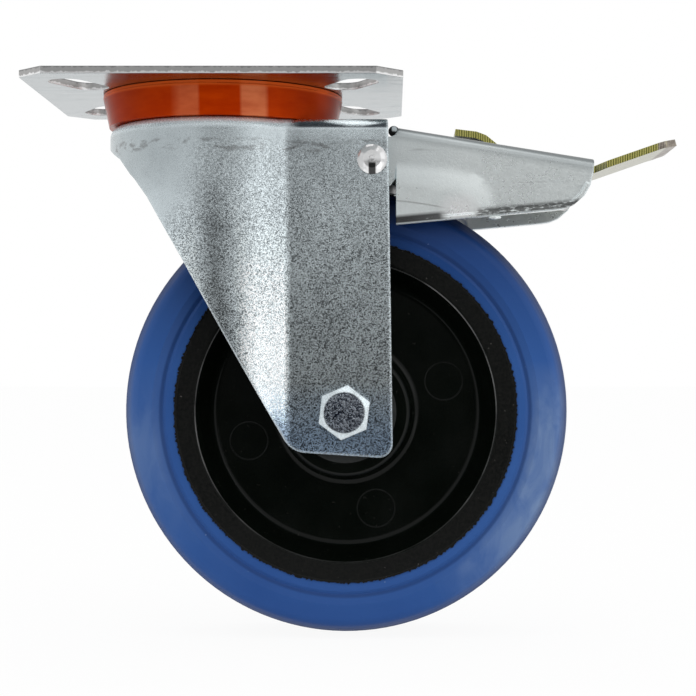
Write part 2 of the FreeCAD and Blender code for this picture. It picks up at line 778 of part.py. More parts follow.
# Washer under the nut on the far leg
washer = new_body("washer")
washer_plan = new_sketch(washer, "XY_Plane", -leg_half)
circle(washer_plan, 0.0, 0.0, washer_radius)
circle(washer_plan, 0.0, 0.0, bolt_radius + bolt_clear)
pad(washer, washer_plan, washer_thick, back=True)
on_axle(washer)

# Lock nut: hexagon with a round collar that holds the nylon insert
nut = new_body("axle_nut")
nut_face = -leg_half - washer_thick
nut_plan = new_sketch(nut, "XY_Plane", nut_face)
hexagon(nut_plan, hex_flats, 97.0)
pad(nut, nut_plan, nut_high - 2.2, back=True)
collar_plan = new_sketch(nut, "XY_Plane", nut_face - nut_high + 2.2)
circle(collar_plan, 0.0, 0.0, 6.2)
pad(nut, collar_plan, 2.2, back=True)
nut_bore = new_sketch(nut, "XY_Plane", nut_face)
circle(nut_bore, 0.0, 0.0, bolt_radius)
cut(nut, nut_bore, nut_high)
insert_seat = new_sketch(nut, "XY_Plane", nut_face - nut_high)
circle(insert_seat, 0.0, 0.0, 5.5)
cut(nut, insert_seat, 2.0, back=True)
on_axle(nut)

# Nylon insert in the nut's collar
insert = new_body("nut_insert")
insert_plan = new_sketch(insert, "XY_Plane", nut_face - nut_high + 2.0)
circle(insert_plan, 0.0, 0.0, 5.5)
circle(insert_plan, 0.0, 0.0, bolt_radius)
pad(insert, insert_plan, 1.8, back=True)
on_axle(insert)

# Cross rivet: joins fork and housing and carries the rocker; domed heads with a small nib
rivet = new_body("cross_rivet")
rivet_profile = new_sketch(rivet, "XZ_Plane")
dome_out = leg_half + 1.7
outline(rivet_profile, [
    (0.0, dome_out + 0.5),
    (0.7, dome_out + 0.4),
    (0.9, dome_out),
    (2.4, dome_out - 0.35),
    (3.5, dome_out - 0.95),
    (rivet_head, leg_half + 0.3),
    (rivet_head, leg_half),
    (rivet_radius, leg_half),
    (rivet_radius, -leg_half),
    (rivet_head, -leg_half),
    (rivet_head, -leg_half - 0.3),
    (3.5, -dome_out + 0.95),
    (2.4, -dome_out + 0.35),
    (0.9, -dome_out),
    (0.7, -dome_out - 0.4),
    (0.0, -dome_out - 0.5),
])
turned(rivet, rivet_profile)
rivet.Placement = FreeCAD.Placement(
    Vector(rivet_x.value, 0, rivet_z.value), FreeCAD.Rotation(Vector(1, 0, 0), 90)
)
rivet.setExpression("Placement.Base.x", rivet_x.text)
rivet.setExpression("Placement.Base.z", rivet_z.text)

# Brake housing: folded channel with ears inside the legs, flared lower edge, slot for the tab
housing = new_body("brake_housing")
lower_edge = [
    (trail + 13.9, crown_top - 28.8),
    (trail + 29.8, crown_top - 27.3),
    (trail + 56.7, crown_top - 24.9),
    (trail + 59.6, crown_top - 24.5),
    (trail + 62.4, crown_top - 23.3),
    (trail + 65.2, crown_top - 20.9),
    (trail + 67.0, crown_top - 17.7),
]
side_plan = new_sketch(housing, "XZ_Plane")
outline(side_plan, lower_edge + [
    (trail + 67.8, crown_top - 14.2),
    (trail + 68.1, crown_top - 10.7),
    (trail + 16.4, crown_top - 2.1),
    (trail + 16.1, crown_top - 3.3),
    (trail + 15.3, crown_top - 4.2),
    (trail + 14.0, crown_top - 4.7),
    (trail + 4.0, crown_top - 4.7),
    (trail + 0.4, crown_top - 8.3),
    (trail + 0.4, crown_top - 14.5),
    (trail + 4.0, crown_top - 18.1),
    (trail + 12.4, crown_top - 18.1),
    (trail + 13.9, crown_top - 16.1),
])
pad(housing, side_plan, leg_inner * 2, both=True)
dress(
    housing,
    "Fillet",
    house_bend,
    lambda e: abs(e.Length - 52.4) < 0.3 and abs(abs(e.CenterOfMass.y) - leg_inner.value) < 0.01
    and e.CenterOfMass.z > -20.0,
)
# The wall bulges outwards beside the tyre, rising softly from the flat in three steps
for side in (1, -1):
    rings = []
    for share, shrink in ((0.0, 0.0), (0.5, 3.0), (0.88, 6.0), (1.0, 8.6)):
        ring = new_sketch(housing, "XZ_Plane", (leg_inner + bulge_out * share) * side)
        outline(ring, [
            (trail + 13.9, crown_top - 28.8),
            (trail + 29.8, crown_top - 27.3),
            (trail + 42.0 - shrink, crown_top - 26.2 - shrink * 0.03),
            (trail + 42.4 - shrink, crown_top - 23.0 - shrink * 0.1),
            (trail + 41.4 - shrink, crown_top - 19.8 - shrink * 0.3),
            (trail + 38.8 - shrink * 0.9, crown_top - 16.6 - shrink * 0.5),
            (trail + 34.8 - shrink * 0.7, crown_top - 14.2 - shrink * 0.7),
            (trail + 29.6 - shrink * 0.5, crown_top - 12.8 - shrink * 0.8),
            (trail + 22.0 - shrink * 0.2, crown_top - 12.0 - shrink * 0.8),
            (trail + 13.9, crown_top - 11.6 - shrink * 0.8),
        ])
        rings.append(ring)
    feature(housing, "AdditiveLoft", rings[0], Sections=rings[1:], Ruled=True)
lip_plan = new_sketch(housing, "XZ_Plane")
outline(lip_plan, lower_edge + [
    (trail + 65.8, crown_top - 17.2),
    (trail + 64.2, crown_top - 20.1),
    (trail + 61.8, crown_top - 22.2),
    (trail + 59.2, crown_top - 23.2),
    (trail + 56.5, crown_top - 23.7),
    (trail + 29.8, crown_top - 26.1),
    (trail + 13.9, crown_top - 27.6),
])
pad(housing, lip_plan, (leg_inner + lip_out) * 2, both=True)
inside = new_sketch(housing, "XZ_Plane")
outline(inside, [
    (-20.0, crown_top - 3.7),
    (trail + 13.9, crown_top - 3.7),
    (trail + 80.0, crown_top - 14.7),
    (trail + 80.0, crown_top - 40.3),
    (-20.0, crown_top - 40.3),
])
cut(housing, inside, (leg_inner - house_thick) * 2, both=True)
hollow_side = new_sketch(housing, "XZ_Plane")
outline(hollow_side, [
    (trail + 12.0, crown_top - 32.3),
    (trail + 35.6, crown_top - 32.3),
    (trail + 35.0, crown_top - 24.7),
    (trail + 32.8, crown_top - 21.9),
    (trail + 29.2, crown_top - 20.3),
    (trail + 25.0, crown_top - 19.5),
    (trail + 12.0, crown_top - 18.7),
])
cut(housing, hollow_side, (leg_inner - house_thick + bulge_out) * 2, both=True)
tab_slot = new_sketch(housing, "XY_Plane")
outline(tab_slot, [
    (trail + 34.5, -lever_half - 1),
    (trail + 54.0, -lever_half - 1),
    (trail + 54.0, lever_half + 1),
    (trail + 34.5, lever_half + 1),
])
outline(tab_slot, [
    (trail + 60.5, -lever_half - 1),
    (trail + 74.0, -lever_half - 1),
    (trail + 74.0, lever_half + 1),
    (trail + 60.5, lever_half + 1),
])
cut(housing, tab_slot, 40.0)
ear_holes = new_sketch(housing, "XZ_Plane")
circle(ear_holes, rivet_x, rivet_z, rivet_radius)
cut(housing, ear_holes, 80.0, both=True)
pin_seats = new_sketch(housing, "XZ_Plane")
circle(pin_seats, lever_x, lever_z, lever_pin_radius)
cut(housing, pin_seats, (leg_inner - house_thick) * 2 + 2, both=True)

# Lever pin: held between the housing's walls
lever_pin = new_body("lever_pin")
pin_plan = new_sketch(lever_pin, "XZ_Plane")
circle(pin_plan, lever_x, lever_z, lever_pin_radius)
pad(lever_pin, pin_plan, (leg_inner - house_thick) * 2 + 2, both=True)

# Brake lever: bent strip, release tab in front and pedal behind, with cheeks round the pin
lever = new_body("brake_lever")
path = [
    Vector(65.6, 0, -13.3),
    Vector(71.4, 0, -14.0),
    Vector(73.8, 0, -14.9),
    Vector(76.4, 0, -17.0),
    Vector(80.2, 0, -21.8),
    Vector(83.0, 0, -23.8),
    Vector(98.6, 0, -25.0),
    Vector(104.4, 0, -23.7),
    Vector(122.2, 0, -17.5),
    Vector(127.2, 0, -16.1),
]
half_sheet = lever_thick.value / 2


def side_of(points, distance):
    """The chain of points moved sideways by a distance, in the XZ plane."""
    moved = []
    for i, point in enumerate(points):
        before = points[max(i - 1, 0)]
        after = points[min(i + 1, len(points) - 1)]
        first_run = point - before if i else after - point
        next_run = after - point if i < len(points) - 1 else first_run
        first_normal = Vector(-first_run.z, 0, first_run.x).normalize()
        next_normal = Vector(-next_run.z, 0, next_run.x).normalize()
        middle = (first_normal + next_normal).normalize()
        reach = distance / middle.dot(first_normal)
        moved.append((point.x + middle.x * reach, point.z + middle.z * reach))
    return moved


strip = new_sketch(lever, "XZ_Plane")
outline(strip, side_of(path, half_sheet) + side_of(path, -half_sheet)[::-1])
pad(lever, strip, pedal_half * 2, both=True)
for side in (1, -1):
    waist = new_sketch(lever, "XY_Plane")
    outline(waist, [
        (50.0, lever_half * side),
        (104.6, lever_half * side),
        (107.6, pedal_half * side),
        (107.6, (pedal_half + 5.0) * side),
        (50.0, (pedal_half + 5.0) * side),
    ])
    cut(lever, waist, 60.0, both=True)
cheek_plan = new_sketch(lever, "XZ_Plane")
outline(cheek_plan, [
    (81.0, -22.6),
    (82.2, -23.9),
    (98.6, -25.0),
    (99.4, -26.0),
    (97.4, -29.4),
    (96.2, -30.4),
    (94.4, -30.6),
    (85.0, -30.6),
    (82.4, -30.2),
    (80.4, -28.4),
    (79.8, -25.4),
])
pad(lever, cheek_plan, lever_half * 2, both=True)
between = new_sketch(lever, "XZ_Plane")
outline(between, [
    (76.0, -23.4),
    (79.2, -23.4),
    (82.4, -25.4),
    (98.6, -26.5),
    (106.0, -25.5),
    (106.0, -36.0),
    (76.0, -36.0),
])
cut(lever, between, (lever_half - 2.2) * 2, both=True)
lever_bore = new_sketch(lever, "XZ_Plane")
circle(lever_bore, lever_x, lever_z, lever_pin_radius + pivot_play)
cut(lever, lever_bore, 60.0, both=True)
dress(
    lever,
    "Chamfer",
    3.5,
    lambda e: e.CenterOfMass.x > 126.0 and e.Length < 3.0 and abs(abs(e.CenterOfMass.y) - pedal_half.value) < 0.01
    and abs(e.tangentAt(e.FirstParameter).y) < 0.01 and abs(e.tangentAt(e.FirstParameter).z) > 0.5,
)

# Brake rocker: pivots on the cross rivet, nose in front, long tail under the lever's cheeks
rocker = new_body("brake_rocker")
rocker_plan = new_sketch(rocker, "XZ_Plane")
outline(rocker_plan, [
    (22.6, -22.95),
    (25.2, -22.95),
    (25.6, -24.9),
    (trail - 1.2, -24.0),
    (trail + 3.2, -19.2),
    (trail + 7.4, -17.4),
    (trail + 11.4, -18.6),
    (trail + 14.4, -22.4),
    (trail + 22.8, -27.4),
    (trail + 38.8, -30.8),
    (trail + 61.4, -31.0),
    (trail + 63.4, -31.6),
    (trail + 63.4, -33.2),
    (trail + 61.4, -32.8),
    (trail + 38.4, -32.8),
    (trail + 21.8, -29.8),
    (trail + 9.4, -27.2),
    (trail + 2.8, -26.8),
    (trail - 2.2, -26.6),
    (22.6, -27.4),
])
pad(rocker, rocker_plan, rocker_half * 2, both=True)
rocker_bore = new_sketch(rocker, "XZ_Plane")
circle(rocker_bore, rivet_x, rivet_z, rivet_radius + pivot_play)
cut(rocker, rocker_bore, 60.0, both=True)
nose_sides = new_sketch(rocker, "XY_Plane", -25.0)
for side in (1, -1):
    outline(nose_sides, [
        (20.0, 1.3 * side),
        (27.0, 1.3 * side),
        (27.0, 14.0 * side),
        (20.0, 14.0 * side),
    ])
cut(rocker, nose_sides, 10.0, back=True)

# Brake pad: ridged steel block under the rocker, following the tyre
brake_pad = new_body("brake_pad")
pad_centre_z = crown_top - 79.8
pad_points = []
for i in range(9):
    angle = math.radians(68.6 - 1.3 * i)
    reach = pad_radius + (0.0 if i % 2 == 0 else 0.4)
    pad_points.append((trail + reach * math.cos(angle), pad_centre_z + reach * math.sin(angle)))
pad_top = [(trail + 36.4, crown_top - 21.24), (trail + 23.4, crown_top - 18.89)]
pad_sketch = new_sketch(brake_pad, "XZ_Plane")
outline(pad_sketch, pad_points + pad_top)
pad(brake_pad, pad_sketch, rocker_half * 2, both=True)

doc.recompute()
os.makedirs("parts", exist_ok=True)
for item in bodies:
    shape = item.Shape
    if "Invalid" in item.State or "Error" in item.State:
        raise RuntimeError(item.Label + ": state " + str(item.State))
    if shape.isNull() or not shape.isValid():
        raise RuntimeError(item.Label + ": the shape is not valid")
    box = shape.BoundBox
    print(
        "%-16s solids %2d volume %10.1f  x %7.2f %7.2f  y %7.2f %7.2f  z %8.2f %7.2f"
        % (item.Label, len(shape.Solids), shape.Volume, box.XMin, box.XMax, box.YMin, box.YMax, box.ZMin, box.ZMax)
    )
    shape.exportStep(os.path.join("parts", item.Label + ".step"))
for item in doc.Objects:
    if "Invalid" in item.State:
        raise RuntimeError(item.Label + " is invalid")
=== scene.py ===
import math
import random

import bmesh
import bpy
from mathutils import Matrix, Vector


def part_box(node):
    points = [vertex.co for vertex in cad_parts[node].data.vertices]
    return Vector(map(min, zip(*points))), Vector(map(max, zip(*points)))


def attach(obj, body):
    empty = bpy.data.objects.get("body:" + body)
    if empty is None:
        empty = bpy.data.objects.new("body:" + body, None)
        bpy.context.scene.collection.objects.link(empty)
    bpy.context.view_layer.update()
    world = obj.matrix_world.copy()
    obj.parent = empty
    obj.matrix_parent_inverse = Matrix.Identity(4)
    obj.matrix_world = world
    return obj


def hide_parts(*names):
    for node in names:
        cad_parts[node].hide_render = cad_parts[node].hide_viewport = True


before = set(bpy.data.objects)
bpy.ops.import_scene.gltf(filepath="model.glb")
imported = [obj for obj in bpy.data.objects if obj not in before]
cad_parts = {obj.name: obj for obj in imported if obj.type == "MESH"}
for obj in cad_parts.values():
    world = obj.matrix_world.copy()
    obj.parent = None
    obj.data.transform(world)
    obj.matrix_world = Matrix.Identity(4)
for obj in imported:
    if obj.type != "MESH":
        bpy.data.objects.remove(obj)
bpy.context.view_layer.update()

bpy.ops.object.select_all(action="DESELECT")


# Top plate. Cut from rolled steel strip, drawn down in the middle to carry the ball race, and
# bright zinc plated. Its underside keeps the rolling streaks; its cut edges show a dull upper
# line and a bright, torn lower lip. Four slots take the screws that hold the castor.

def new_finish(name):
    """A node material with that name: the material, its node tree and its shader."""
    finish = bpy.data.materials.new(name)
    finish.use_nodes = True
    return finish, finish.node_tree, finish.node_tree.nodes["Principled BSDF"]


def node(tree, kind, inputs=None, **settings):
    """A node of that kind. An input is given a socket to take its value from, or a plain value."""
    made = tree.nodes.new(kind)
    for setting, value in settings.items():
        setattr(made, setting, value)
    for key, value in (inputs or {}).items():
        if isinstance(value, bpy.types.NodeSocket):
            tree.links.new(value, made.inputs[key])
        else:
            made.inputs[key].default_value = value
    return made


def math_node(tree, operation, first, second=0.0, clamp=False):
    """The result of one sum on two values."""
    return node(tree, "ShaderNodeMath", {0: first, 1: second}, operation=operation,
                use_clamp=clamp).outputs[0]


def plus(tree, first, second, clamp=False):
    """Two values added, held to zero..one if clamped."""
    return math_node(tree, "ADD", first, second, clamp)


def minus(tree, first, second):
    """The second value taken from the first."""
    return math_node(tree, "SUBTRACT", first, second)


def times(tree, first, *others):
    """All the values multiplied together."""
    for other in others:
        first = math_node(tree, "MULTIPLY", first, other)
    return first


def size_of(tree, value):
    """The value without its sign."""
    return math_node(tree, "ABSOLUTE", value)


def spread(tree, value, low, high, to_low=0.0, to_high=1.0):
    """The value stretched from low..high to to_low..to_high, and held there outside."""
    return node(tree, "ShaderNodeMapRange", {
        "Value": value, "From Min": low, "From Max": high, "To Min": to_low, "To Max": to_high,
    }).outputs["Result"]


def mixed(tree, share, first, second, blend_type="MIX"):
    """Two colours mixed by a share."""
    return node(tree, "ShaderNodeMix", {0: share, 6: first, 7: second}, data_type="RGBA",
                blend_type=blend_type).outputs[2]


def mixed_value(tree, share, first, second):
    """Two plain values mixed by a share."""
    return node(tree, "ShaderNodeMix", {0: share, 2: first, 3: second}).outputs[0]


def object_place(tree, stretch=(1.0, 1.0, 1.0), turn=(0.0, 0.0, 0.0), shift=(0.0, 0.0, 0.0)):
    """The point on the piece in metres, stretched, turned or shifted for a pattern."""
    coordinates = tree.nodes.new("ShaderNodeTexCoord")
    return node(tree, "ShaderNodeMapping", {
        "Vector": coordinates.outputs["Object"], "Scale": stretch, "Rotation": turn,
        "Location": shift,
    }).outputs["Vector"]


def parts_of(tree, vector):
    """A vector's X, Y and Z."""
    return node(tree, "ShaderNodeSeparateXYZ", {"Vector": vector}).outputs


def facing_of(tree):
    """The X, Y and Z of the way that the surface faces."""
    return parts_of(tree, tree.nodes.new("ShaderNodeNewGeometry").outputs["Normal"])


def noise(tree, place, per_metre, detail=3.0, roughness=0.55, distortion=0.0):
    """A cloudy value around a half, with that many clouds in a metre."""
    return node(tree, "ShaderNodeTexNoise", {
        "Vector": place, "Scale": per_metre, "Detail": detail, "Roughness": roughness,
        "Distortion": distortion,
    }).outputs["Fac"]


def bump(tree, shader, height, depth, strength=1.0, over=None):
    """Raises the surface by the height, up to a depth in metres, over a given normal if any."""
    made = node(tree, "ShaderNodeBump", {
        "Height": height, "Distance": depth, "Strength": strength,
    })
    if over is not None:
        tree.links.new(over, made.inputs["Normal"])
    tree.links.new(made.outputs["Normal"], shader.inputs["Normal"])


def grey(value, warm=0.0):
    """A near neutral colour; warm above zero is warmer, below zero bluer."""
    return (value * (1 + warm), value, value * (1 - warm), 1.0)


def zinc(value):
    """The colour of bright zinc plating: a grey that leans to blue-green."""
    return (value * 0.90, value * 0.995, value * 1.03, 1.0)


def new_group(name, inputs, outputs):
    """An empty node group with those sockets: the group, its input node and its output node."""
    group = bpy.data.node_groups.new(name, "ShaderNodeTree")
    for direction, sockets in (("INPUT", inputs), ("OUTPUT", outputs)):
        for socket, kind, value in sockets:
            made = group.interface.new_socket(name=socket, in_out=direction, socket_type=kind)
            if value is not None:
                made.default_value = value
    return group, group.nodes.new("NodeGroupInput"), group.nodes.new("NodeGroupOutput")


def with_group(tree, group, inputs):
    """The outputs of a node group placed in a material, with its own values."""
    return node(tree, "ShaderNodeGroup", inputs, node_tree=group).outputs


def zinc_skin_group():
    """Plated sheet: small crystals, wide clouds and a slow change of shine."""
    group, given, result = new_group("zinc_skin", [
        ("Place", "NodeSocketVector", None),
        ("Crystals", "NodeSocketFloat", 1800.0),
        ("Crystal Contrast", "NodeSocketFloat", 0.5),
        ("Clouds", "NodeSocketFloat", 40.0),
        ("Dull", "NodeSocketColor", grey(0.4)),
        ("Bright", "NodeSocketColor", grey(0.7)),
        ("Smooth", "NodeSocketFloat", 0.2),
        ("Rough", "NodeSocketFloat", 0.4),
    ], [
        ("Color", "NodeSocketColor", None),
        ("Roughness", "NodeSocketFloat", None),
        ("Height", "NodeSocketFloat", None),
    ])
    place = given.outputs["Place"]
    crystals = given.outputs["Crystals"]
    grain = noise(group, place, crystals, detail=2.0, roughness=0.6)
    cells = node(group, "ShaderNodeTexVoronoi", {"Vector": place, "Scale": crystals})
    cell = node(group, "ShaderNodeSeparateColor", {"Color": cells.outputs["Color"]}).outputs[0]
    clouds = noise(group, place, given.outputs["Clouds"], detail=4.0)
    crystal = plus(group, times(group, grain, 0.55), times(group, cell, 0.45))
    lively = times(group, minus(group, crystal, 0.5), given.outputs["Crystal Contrast"])
    share = plus(group, spread(group, clouds, 0.3, 0.7, 0.32, 0.72), lively, clamp=True)
    colour = mixed(group, share, given.outputs["Dull"], given.outputs["Bright"])
    shine = plus(group, times(group, clouds, 0.7), times(group, cell, 0.3))
    rough = spread(group, shine, 0.3, 0.75, given.outputs["Smooth"], given.outputs["Rough"])
    group.links.new(colour, result.inputs["Color"])
    group.links.new(rough, result.inputs["Roughness"])
    group.links.new(crystal, result.inputs["Height"])
    return group


zinc_skin = zinc_skin_group()


def softened(node_name, name, width):
    """A copy of a CAD piece whose sharp corners are rounded by a width, shaded smooth between."""
    same_point = 0.000002
    flat_turn = math.radians(0.4)
    sharp_turn = math.radians(38.0)
    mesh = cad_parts[node_name].data.copy()
    mesh.name = name
    shape = bmesh.new()
    shape.from_mesh(mesh)
    bmesh.ops.remove_doubles(shape, verts=shape.verts, dist=same_point)
    bmesh.ops.dissolve_limit(shape, angle_limit=flat_turn, verts=shape.verts,
                             edges=shape.edges)
    shape.to_mesh(mesh)
    shape.free()
    piece = bpy.data.objects.new(name, mesh)
    bpy.context.scene.collection.objects.link(piece)
    bpy.ops.object.select_all(action="DESELECT")
    piece.select_set(True)
    bpy.context.view_layer.objects.active = piece
    bpy.ops.mesh.customdata_custom_splitnormals_clear()
    bpy.ops.object.modifier_add(type="BEVEL")
    rounding = piece.modifiers[-1]
    rounding.width = width
    rounding.segments = 2
    rounding.limit_method = "ANGLE"
    rounding.use_clamp_overlap = False
    rounding.angle_limit = sharp_turn
    bpy.ops.object.modifier_apply(modifier=rounding.name)
    bpy.ops.object.shade_smooth_by_angle(angle=sharp_turn)
    bpy.ops.object.modifier_add(type="WEIGHTED_NORMAL")
    weights = piece.modifiers[-1]
    weights.keep_sharp = True
    bpy.ops.object.modifier_apply(modifier=weights.name)
    return piece


def stands_for(piece, node_name, body, finish):
    """Puts a finish on a piece that takes a CAD node's place and moves with its body."""
    piece.data.materials.clear()
    piece.data.materials.append(finish)
    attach(piece, body)
    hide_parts(node_name)


plate_finish, tree, shader = new_finish("plate_zinc")
skin = with_group(tree, zinc_skin, {
    "Place": object_place(tree, stretch=(0.12, 1.0, 1.0)),
    "Crystals": 1500.0, "Crystal Contrast": 0.5, "Clouds": 190.0,
    "Dull": zinc(0.29), "Bright": zinc(0.45), "Smooth": 0.10, "Rough": 0.26,
})
# The cut edge from the top face down: a dull line, plain shear, and the torn lip.
dull_line_end, dull_line_start = -0.00045, -0.0002
lip_start, lip_full = -0.00135, -0.00165
tear_depth = 0.0016
on_cut = spread(tree, size_of(tree, facing_of(tree)["Z"]), 0.55, 0.35)
torn = noise(tree, object_place(tree, stretch=(1.0, 1.0, 0.35)), 900.0, detail=4.0)
level = plus(tree, parts_of(tree, object_place(tree))["Z"],
             times(tree, minus(tree, torn, 0.5), tear_depth))
cut_colour = mixed(tree, spread(tree, level, lip_start, lip_full), grey(0.42, 0.01), grey(0.86))
cut_colour = mixed(tree, spread(tree, level, dull_line_end, dull_line_start), cut_colour,
                   grey(0.26))
cut_rough = plus(tree, times(tree, torn, 0.35), 0.22)
tree.links.new(mixed(tree, on_cut, skin["Color"], cut_colour), shader.inputs["Base Color"])
tree.links.new(mixed_value(tree, on_cut, skin["Roughness"], cut_rough),
               shader.inputs["Roughness"])
shader.inputs["Metallic"].default_value = 1.0
bump(tree, shader, mixed_value(tree, on_cut, skin["Height"], torn), 0.00006, 0.6)
stands_for(softened("top_plate", "plate_sheet", 0.00012), "top_plate", "plate", plate_finish)


# Swivel bearing. Two rows of hardened steel balls run in a pressed race and on the crown, and
# a shouldered pin riveted over at both ends holds them. The slotted disc below is what the
# brake's nose locks into. The axle tube, lever pin and rollers are of the same greased steels.

def give_finish(finish, *names):
    """Puts one finish on those CAD pieces."""
    for name in names:
        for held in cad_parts[name].material_slots:
            held.material = finish


def plated(name, skin_values, bump_depth, bump_strength):
    """A finish of plain plated steel: the skin's colour, shine and grain, and nothing over it."""
    finish, tree, shader = new_finish(name)
    skin = with_group(tree, zinc_skin, {"Place": object_place(tree), **skin_values})
    tree.links.new(skin["Color"], shader.inputs["Base Color"])
    tree.links.new(skin["Roughness"], shader.inputs["Roughness"])
    shader.inputs["Metallic"].default_value = 1.0
    bump(tree, shader, skin["Height"], bump_depth, bump_strength)
    return finish


steel_finish, tree, shader = new_finish("bare_steel")
turning_marks = noise(tree, object_place(tree, stretch=(1.0, 1.0, 6.0)), 700.0)
grease = spread(tree, noise(tree, object_place(tree), 90.0), 0.4, 0.65)
tree.links.new(mixed(tree, grease, grey(0.50), grey(0.36, 0.05)), shader.inputs["Base Color"])
tree.links.new(spread(tree, turning_marks, 0.3, 0.7, 0.18, 0.38), shader.inputs["Roughness"])
shader.inputs["Metallic"].default_value = 1.0
bump(tree, shader, turning_marks, 0.00004, 0.5)
give_finish(steel_finish, "kingpin", "axle_tube", "lever_pin")

ball_finish, tree, shader = new_finish("ball_steel")
film = noise(tree, object_place(tree), 500.0, detail=2.0)
tree.links.new(mixed(tree, spread(tree, film, 0.45, 0.6), grey(0.66), grey(0.45, 0.06)),
               shader.inputs["Base Color"])
tree.links.new(spread(tree, film, 0.3, 0.7, 0.06, 0.2), shader.inputs["Roughness"])
shader.inputs["Metallic"].default_value = 1.0
give_finish(ball_finish, "upper_balls", "lower_balls", "rollers")

race_finish = plated("race_zinc", {
    "Crystals": 1600.0, "Crystal Contrast": 0.5, "Clouds": 60.0,
    "Dull": grey(0.44), "Bright": grey(0.66), "Smooth": 0.22, "Rough": 0.42,
}, 0.00005, 0.5)
give_finish(race_finish, "lower_race", "lock_ring")


# Fork. One deep-drawn steel blank: a round cup at the top that turns into two flat legs. The
# zinc's grain grows coarser towards the axle and fades where the draw ring ironed the sheet;
# painted light and shade lie over it, with painted highlights on its punched edges and bent rim.

def edge_mark_group():
    """One near an outer or inner edge of a piece, zero on its open faces; its rounded normal."""
    group, given, result = new_group("edge_mark", [
        ("Width", "NodeSocketFloat", 0.0005),
    ], [("Mark", "NodeSocketFloat", None), ("Rounded", "NodeSocketVector", None)])
    rounded = node(group, "ShaderNodeBevel", {"Radius": given.outputs["Width"]},
                   samples=4).outputs["Normal"]
    true_normal = group.nodes.new("ShaderNodeNewGeometry").outputs["Normal"]
    alike = node(group, "ShaderNodeVectorMath", {0: rounded, 1: true_normal},
                 operation="DOT_PRODUCT").outputs["Value"]
    group.links.new(spread(group, alike, 0.99, 0.8), result.inputs["Mark"])
    group.links.new(rounded, result.inputs["Rounded"])
    return group


edge_mark = edge_mark_group()


def between(tree, value, start, full, full_end, end):
    """One where the value lies from full to full_end, falling to zero at start and at end."""
    return times(tree, spread(tree, value, start, full), spread(tree, value, end, full_end))


def coated(tree, colour, mask, share, coat):
    """A colour with a coat over it where the mask is one, as strong as the share says."""
    return mixed(tree, times(tree, mask, share), colour, coat)


foot_tint = (0.80, 0.96, 1.22, 1.0)
hollow_shade_colour = (0.030, 0.040, 0.055, 1.0)

fork_finish, tree, shader = new_finish("fork_zinc")
place = object_place(tree)
point = parts_of(tree, place)
wide = noise(tree, place, 60.0, detail=2.0)

# The flat leg begins behind the crease, where the bend that comes from the round cup ends.
crease_start, crease_end = 0.0185, 0.0205
on_leg = spread(tree, point["X"], crease_start, crease_end)
leg_shade = times(tree, on_leg, spread(tree, point["Z"], -0.020, -0.100))
hem_highlight = times(tree, on_leg, spread(tree, point["Z"], -0.0180, -0.0155))
crease_shade = times(tree, on_leg, spread(tree, point["X"], 0.0290, crease_end))

# The cup was ironed smooth in front. Beside that, painted shade lies in a slanting trough with a
# ragged border, and a painted highlight runs down the stretched bend to the foot.
trough_slant, trough_wander = 0.16, 0.010
ironed = times(tree, spread(tree, point["X"], 0.002, -0.014),
               spread(tree, point["Z"], -0.056, -0.030))
ironed = spread(tree, plus(tree, ironed, times(tree, wide, 0.5)), 0.45, 1.0)
slanted = plus(tree, point["X"], times(tree, point["Z"], trough_slant))
slanted = plus(tree, slanted, times(tree, minus(tree, wide, 0.5), trough_wander))
trough_with_shade = times(tree, between(tree, slanted, -0.0125, -0.0080, -0.0070, -0.0010),
                spread(tree, point["Z"], -0.024, -0.040))
stretched_with_highlight = times(tree, between(tree, point["X"], 0.002, 0.010, crease_start, crease_end),
                  between(tree, point["Z"], -0.0970, -0.0900, -0.085, -0.048))
outer_shade = times(tree, spread(tree, point["X"], -0.006, -0.018),
              spread(tree, point["Z"], -0.036, -0.026))
foot = spread(tree, point["Z"], -0.083, -0.098)
foot_shade = times(tree, spread(tree, point["Z"], -0.0890, -0.0970),
                  spread(tree, point["X"], crease_end, 0.0180))

# The grain grows coarser downwards, and fades where the sheet was ironed or stretched.
calm = plus(tree, ironed, times(tree, stretched_with_highlight, 0.8), clamp=True)
contrast = times(tree, spread(tree, point["Z"], -0.018, -0.075, 1.0, 4.6),
                 spread(tree, point["Z"], -0.0155, -0.0200, 0.25, 1.0),
                 spread(tree, calm, 0.0, 1.0, 1.0, 0.12))
skin = with_group(tree, zinc_skin, {
    "Place": place, "Crystals": 4100.0, "Crystal Contrast": contrast, "Clouds": 30.0,
    "Dull": zinc(0.18), "Bright": zinc(1.03), "Smooth": 0.20, "Rough": 0.34,
})
# Painted shade on the leg, trough, crease and outer side; painted highlight on the bend and hem.
shade = 1.0
for mask, change in ((leg_shade, -0.42), (trough_with_shade, -0.36), (crease_shade, -0.03), (outer_shade, -0.16),
                     (stretched_with_highlight, 0.80), (hem_highlight, 0.30)):
    shade = plus(tree, shade, times(tree, mask, change))
# Painted shade darkens the bent part at the foot.
shade = times(tree, shade, spread(tree, foot_shade, 0.0, 1.0, 1.0, 0.34))
colour = node(tree, "ShaderNodeVectorMath", {0: skin["Color"], "Scale": shade},
              operation="SCALE").outputs[0]
colour = mixed(tree, foot, colour, mixed(tree, 1.0, colour, foot_tint, "MULTIPLY"))

# Scuffs in a wavy belt where the drawing tool let go, thicker at the start of the leg.
belt_wave = 0.004
scuff = noise(tree, object_place(tree, stretch=(0.5, 1.0, 1.6)), 420.0, detail=4.0,
              distortion=0.4)
drawn = plus(tree, point["Z"],
             times(tree, minus(tree, noise(tree, place, 70.0), 0.5), belt_wave))
belt = between(tree, drawn, -0.0205, -0.0195, -0.0178, -0.0168)
patch = times(tree, between(tree, point["X"], 0.0200, 0.0225, 0.0290, 0.0320), 0.09)
scuffed = times(tree, belt, spread(tree, plus(tree, scuff, patch), 0.50, 0.62))
colour = coated(tree, colour, scuffed, 0.6, grey(0.16))
